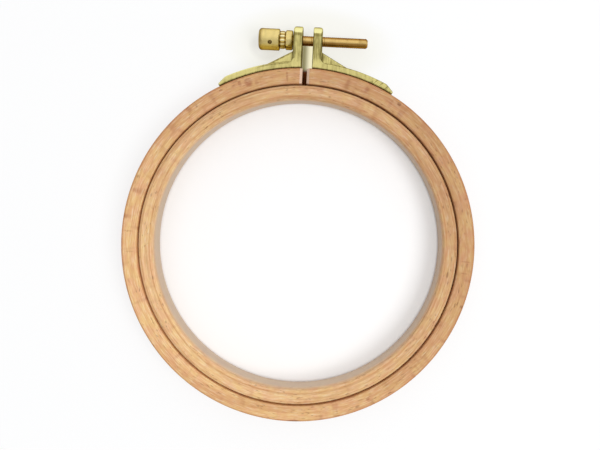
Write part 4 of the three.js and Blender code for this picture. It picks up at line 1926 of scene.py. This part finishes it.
@dataclass(frozen=True)
class Lamp:
    """One square lamp with a soft face.

    Attributes:
        name: its name.
        place: where it stands, in metres.
        aim: the point that it faces.
        size: the side of its face.
        level: how bright it makes a white card at its aim that faces it.
        colour: its light's colour.
    """

    name: str
    place: Tuple[float, float, float]
    aim: Tuple[float, float, float]
    size: float
    level: float
    colour: Colour = WHITE

    def build(self) -> None:
        """Adds the lamp."""
        data = bpy.data.lights.new(self.name, "AREA")
        data.shape = "SQUARE"
        data.size = self.size
        data.color = self.colour
        way = Vector(self.aim) - Vector(self.place)
        data.energy = self.level * math.pi ** 2 * way.length_squared
        lamp = bpy.data.objects.new(self.name, data)
        lamp.location = self.place
        lamp.rotation_mode = "QUATERNION"
        lamp.rotation_quaternion = way.to_track_quat("-Z", "Y")
        lamp.visible_camera = False
        lamp.visible_glossy = False
        bpy.context.scene.collection.objects.link(lamp)


@dataclass
class PaperTable:
    """The white paper that the hoop lies on.

    The camera sees it partly washed out, as bright paper is in a photo. Two values are for inside and outside
    the rings. A ramp named edge or width holds squares of the distance from a middle, as shares of the reach.
    """

    sizes: Measures
    half: float = 3.0  # half its side, in metres
    drop: float = 0.02  # how far it lies below the hoop
    white: Colour = (0.93, 0.93, 0.94)
    shade: Colour = (0.33, 0.09, 0.025)  # its painted shade under the rings and in their split
    under_edge: Point = (1.5, 1.0)  # how far under the rings that painted shade is full, from outside and from inside
    lift: Point = (0.2, 0.72)  # how far it is washed out
    foot: Point = (0.5, 1.2)  # over what distance from the rings' foot
    washed: Tuple[Colour, Colour] = ((1.36, 1.36, 1.37), (1.02, 1.025, 1.03))
    towards: Ramp = Ramp(0.0, 0.02)  # the split's side, along Y in metres
    slot_shade_width: Ramp = Ramp(3.2e-6, 2.6e-6)  # the painted shade in the split, here in square metres
    slot_shade_reach: Ramp = Ramp(2.1, 0.3)  # its distances from the rings
    clamp_reach: Point = (26.0, 12.0)  # half the length and width of the place that gets painted shade and brass-reflected light
    clamp_edge: Ramp = Ramp(1.5, 0.5)
    # painted shade and brass-reflected light on the paper around the clamp
    clamp_shade_and_light: Colour = (0.97, 0.965, 0.9)
    gap_shadow_and_light: Tuple[Colour, Colour] = ((0.3, 0.27, 0.11), (1.18, 1.1, 0.76))  # painted shadow of the left lug, then painted light reflected by the brass, between the lugs
    gap_sides: Ramp = Ramp(-0.0014, 0.001)  # the places along X, in metres, from the one to the other
    gap_width: Ramp = Ramp(1.2, 0.9)  # with half the gap as its reach
    gap_reach: Ramp = Ramp(0.5, -6.0)  # its distances beyond the lugs' top
    knob_place: Point = (-14.2, 65.0)  # the middle of the knob's painted shadow
    knob_reach: Point = (5.2, 4.4)
    knob_edge: Ramp = Ramp(1.5, 0.6)
    knob_shadow_tint: Colour = (0.86, 0.85, 0.8)
    knob_strength: float = 0.9
    tooth: float = 900.0  # spots of its tooth to the metre
    tooth_depth: float = 0.00003

    def build(self) -> None:
        """Adds the table top."""
        bm = bmesh.new()
        bmesh.ops.create_grid(bm, x_segments=8, y_segments=8, size=self.half)
        bmesh.ops.translate(bm, verts=bm.verts[:], vec=(0.0, 0.0, -self.drop * MM))
        mesh = bpy.data.meshes.new("table_top")
        bm.to_mesh(mesh)
        bm.free()
        table = bpy.data.objects.new("table_top", mesh)
        bpy.context.scene.collection.objects.link(table)
        mesh.materials.append(self.material())

    def material(self) -> bpy.types.Material:
        """Makes the paper.

        Returns:
            The material.
        """
        material, board = new_material("white_paper")
        x, y, z = board.place()
        tooth = board.noise(board.vector(x * self.tooth, y * self.tooth, z * self.tooth), 1.0, 3.0)
        y = y - self.sizes.centre_y * MM
        radius = (x * x + y * y) ** 0.5 * (1.0 / MM)
        inside, out = self.sizes.inner_radius - INNER_WALL, self.sizes.outer_radius
        outside = radius.step(out, out + self.foot[1])
        towards = y.step(*self.towards)
        # Painted shade in the split and under the rings.
        slot = (x * x).step(*self.slot_shade_width) * radius.step(*self.slot_shade_reach.moved(out)) * towards
        lift = radius.step(inside, inside - self.foot[0]) * self.lift[0]
        lift = (lift + outside * (1.0 - slot) * self.lift[1]) * self._seen(board)
        under = board.math("MAXIMUM", radius.step(out, out - self.under_edge[0]), slot)
        under = under * radius.step(inside, inside + self.under_edge[1])
        tone = self._tone(board, (x, y, radius), outside, towards)
        board.surface({
            "Base Color": board.mix(lift, board.mix(under, self.white, self.shade), BLACK),
            "Roughness": 0.85,
            "Specular IOR Level": 0.1,
            "Emission Color": board.mix(lift, BLACK, tone),
            "Emission Strength": 1.0,
            "Normal": board.bump(tooth, self.tooth_depth, 0.3),
        })
        return material

    def _seen(self, board: Board) -> Level:
        """Tells the rays that show the washed out paper from those that light the object.

        Args:
            board: the paper's board.

        Returns:
            A level that is 1 for rays of the camera, of gloss and through glass, and 0 for others.
        """
        path = board.node("ShaderNodeLightPath")
        names = ("Is Camera Ray", "Is Glossy Ray", "Is Transmission Ray")
        camera, glossy, through = (Level(board, path.outputs[name]) for name in names)
        return board.math("MAXIMUM", board.math("MAXIMUM", camera, glossy), through)

    def _tone(self, board: Board, place: Tuple[Level, Level, Level], outside: Level,
              towards: Level) -> Socket:
        """Mixes the colour of the washed out paper, with painted shade and light near the clamp, by the knob
        and between the lugs.

        Args:
            board: the paper's board.
            place: the place along X and Y, in metres, and the radius in millimetres.
            outside: 1 outside the rings.
            towards: 1 on the split's side.

        Returns:
            The colour's socket.
        """
        x, y, radius = place

        def near(middle: Point, reach: Point, edge: Ramp) -> Level:
            """How near the table is to the middle of an ellipse, up to 1."""
            along, across = (x - middle[0] * MM) / (reach[0] * MM), (y - middle[1] * MM) / (reach[1] * MM)
            return (along * along + across * across).step(*edge)

        wide = (self.sizes.lug_inner * MM) ** 2
        between = (x * x).step(self.gap_width.start * wide, self.gap_width.full * wide) * towards
        between = between * (radius - self.sizes.lug_top).step(*self.gap_reach)
        # Painted shadow beside the left lug and painted light from the brass between the lugs.
        gap = board.mix(x.step(*self.gap_sides), *self.gap_shadow_and_light)
        clamp = near((0.0, self.sizes.screw_y), self.clamp_reach, self.clamp_edge)
        knob = near(self.knob_place, self.knob_reach, self.knob_edge)
        tone = board.mix(outside, *self.washed)
        tone = board.mix(outside * clamp, tone, self.clamp_shade_and_light)
        tone = board.mix(knob * self.knob_strength, tone, self.knob_shadow_tint)
        return board.mix(between * outside, tone, gap)


@dataclass
class Studio:
    """The table in a pale tent, with a soft lamp.

    Attributes:
        sizes: the frame's sizes.
        tent: the tent's brightness.
        far_side: the directions along Y at which the side away from the split comes in.
        far_loss: how much dimmer it is.
        flanks: the squares of the directions along X at which left and right come in.
        flank_loss: how much dimmer they are.
        lamps: the lamps.
    """

    sizes: Measures
    tent: float = 1.0
    far_side: Ramp = Ramp(0.06, -0.12)
    far_loss: float = 0.38
    flanks: Ramp = Ramp(0.2, 0.56)
    flank_loss: float = 0.62
    lamps: Tuple[Lamp, ...] = (
        Lamp("key_lamp", (0.44, -0.16, 0.72), (0.0, 0.0, 0.0), 0.42, 0.42, (1.0, 0.99, 0.97)),
    )

    def build_tent(self) -> None:
        """Sets the world: bright towards the split, dimmer on the other side and dark to left and right."""
        world = bpy.data.worlds.new("tent")
        world.use_nodes = True
        board = Board(world.node_tree)
        x, y, _ = board.split(board.node("ShaderNodeTexCoord").outputs["Generated"])
        bright = board.mix(y.step(*self.far_side) * self.far_loss, WHITE, BLACK)
        bright = board.mix((x * x).step(*self.flanks) * self.flank_loss, bright, BLACK)
        light = board.node("ShaderNodeBackground", None, {"Color": bright, "Strength": self.tent})
        board.node("ShaderNodeOutputWorld", None, {"Surface": light.outputs[0]})
        bpy.context.scene.world = world

    def build(self) -> None:
        """Adds the table, the tent and the lamps, and sets how colours are shown."""
        PaperTable(self.sizes).build()
        self.build_tent()
        for lamp in self.lamps:
            lamp.build()
        bpy.context.scene.view_settings.view_transform = "Standard"
        log.info("table, tent and %d lamp", len(self.lamps))


@dataclass
class PhotoCamera:
    """The photograph's camera, which looks straight down on the hoop.

    Attributes:
        place: its place in the frame, in millimetres.
        turn: how far it is turned about its line of sight, in degrees.
        lens: its focal length, in millimetres.
        sensor: its sensor's width, in millimetres.
        foot: the picture's pixel that lies straight below it.
        clip: the nearest and the farthest that it sees, in metres.
    """

    place: Tuple[float, float, float] = (6.73, 8.77, 205.0)
    turn: float = 2.8
    lens: float = 36.77
    sensor: float = 36.0
    foot: Point = (321.3, 196.2)
    clip: Point = (0.005, 20.0)

    def build(self) -> None:
        """Adds the camera. A small shift brings the point straight below it to its pixel."""
        width, height = PICTURE_SIZE
        data = bpy.data.cameras.new("photo_camera")
        data.sensor_fit = "HORIZONTAL"
        data.sensor_width = self.sensor
        data.lens = self.lens
        data.shift_x = (width / 2.0 - self.foot[0]) / width
        data.shift_y = (self.foot[1] - height / 2.0) / width
        data.clip_start, data.clip_end = self.clip
        camera = bpy.data.objects.new("photo_camera", data)
        camera.location = Vector(self.place) * MM
        camera.rotation_euler = (0.0, 0.0, math.radians(self.turn))
        bpy.context.scene.collection.objects.link(camera)
        bpy.context.scene.camera = camera
        log.info("camera %.0f mm above the table", self.place[2])


def main() -> None:
    """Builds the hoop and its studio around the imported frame."""
    logging.basicConfig(level=logging.INFO, format="%(message)s")
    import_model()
    sizes = Measures.read()
    bench = Bench(sizes.centre_y)
    parts: Tuple[Callable[[], None], ...] = (
        PhotoCamera().build,
        Rings(bench, sizes).build,
        Clamp(bench, sizes).build,
        Thumbscrew(bench, sizes).build,
        Studio(sizes).build,
    )
    for build in parts:
        build()


if __name__ == "__main__":
    main()
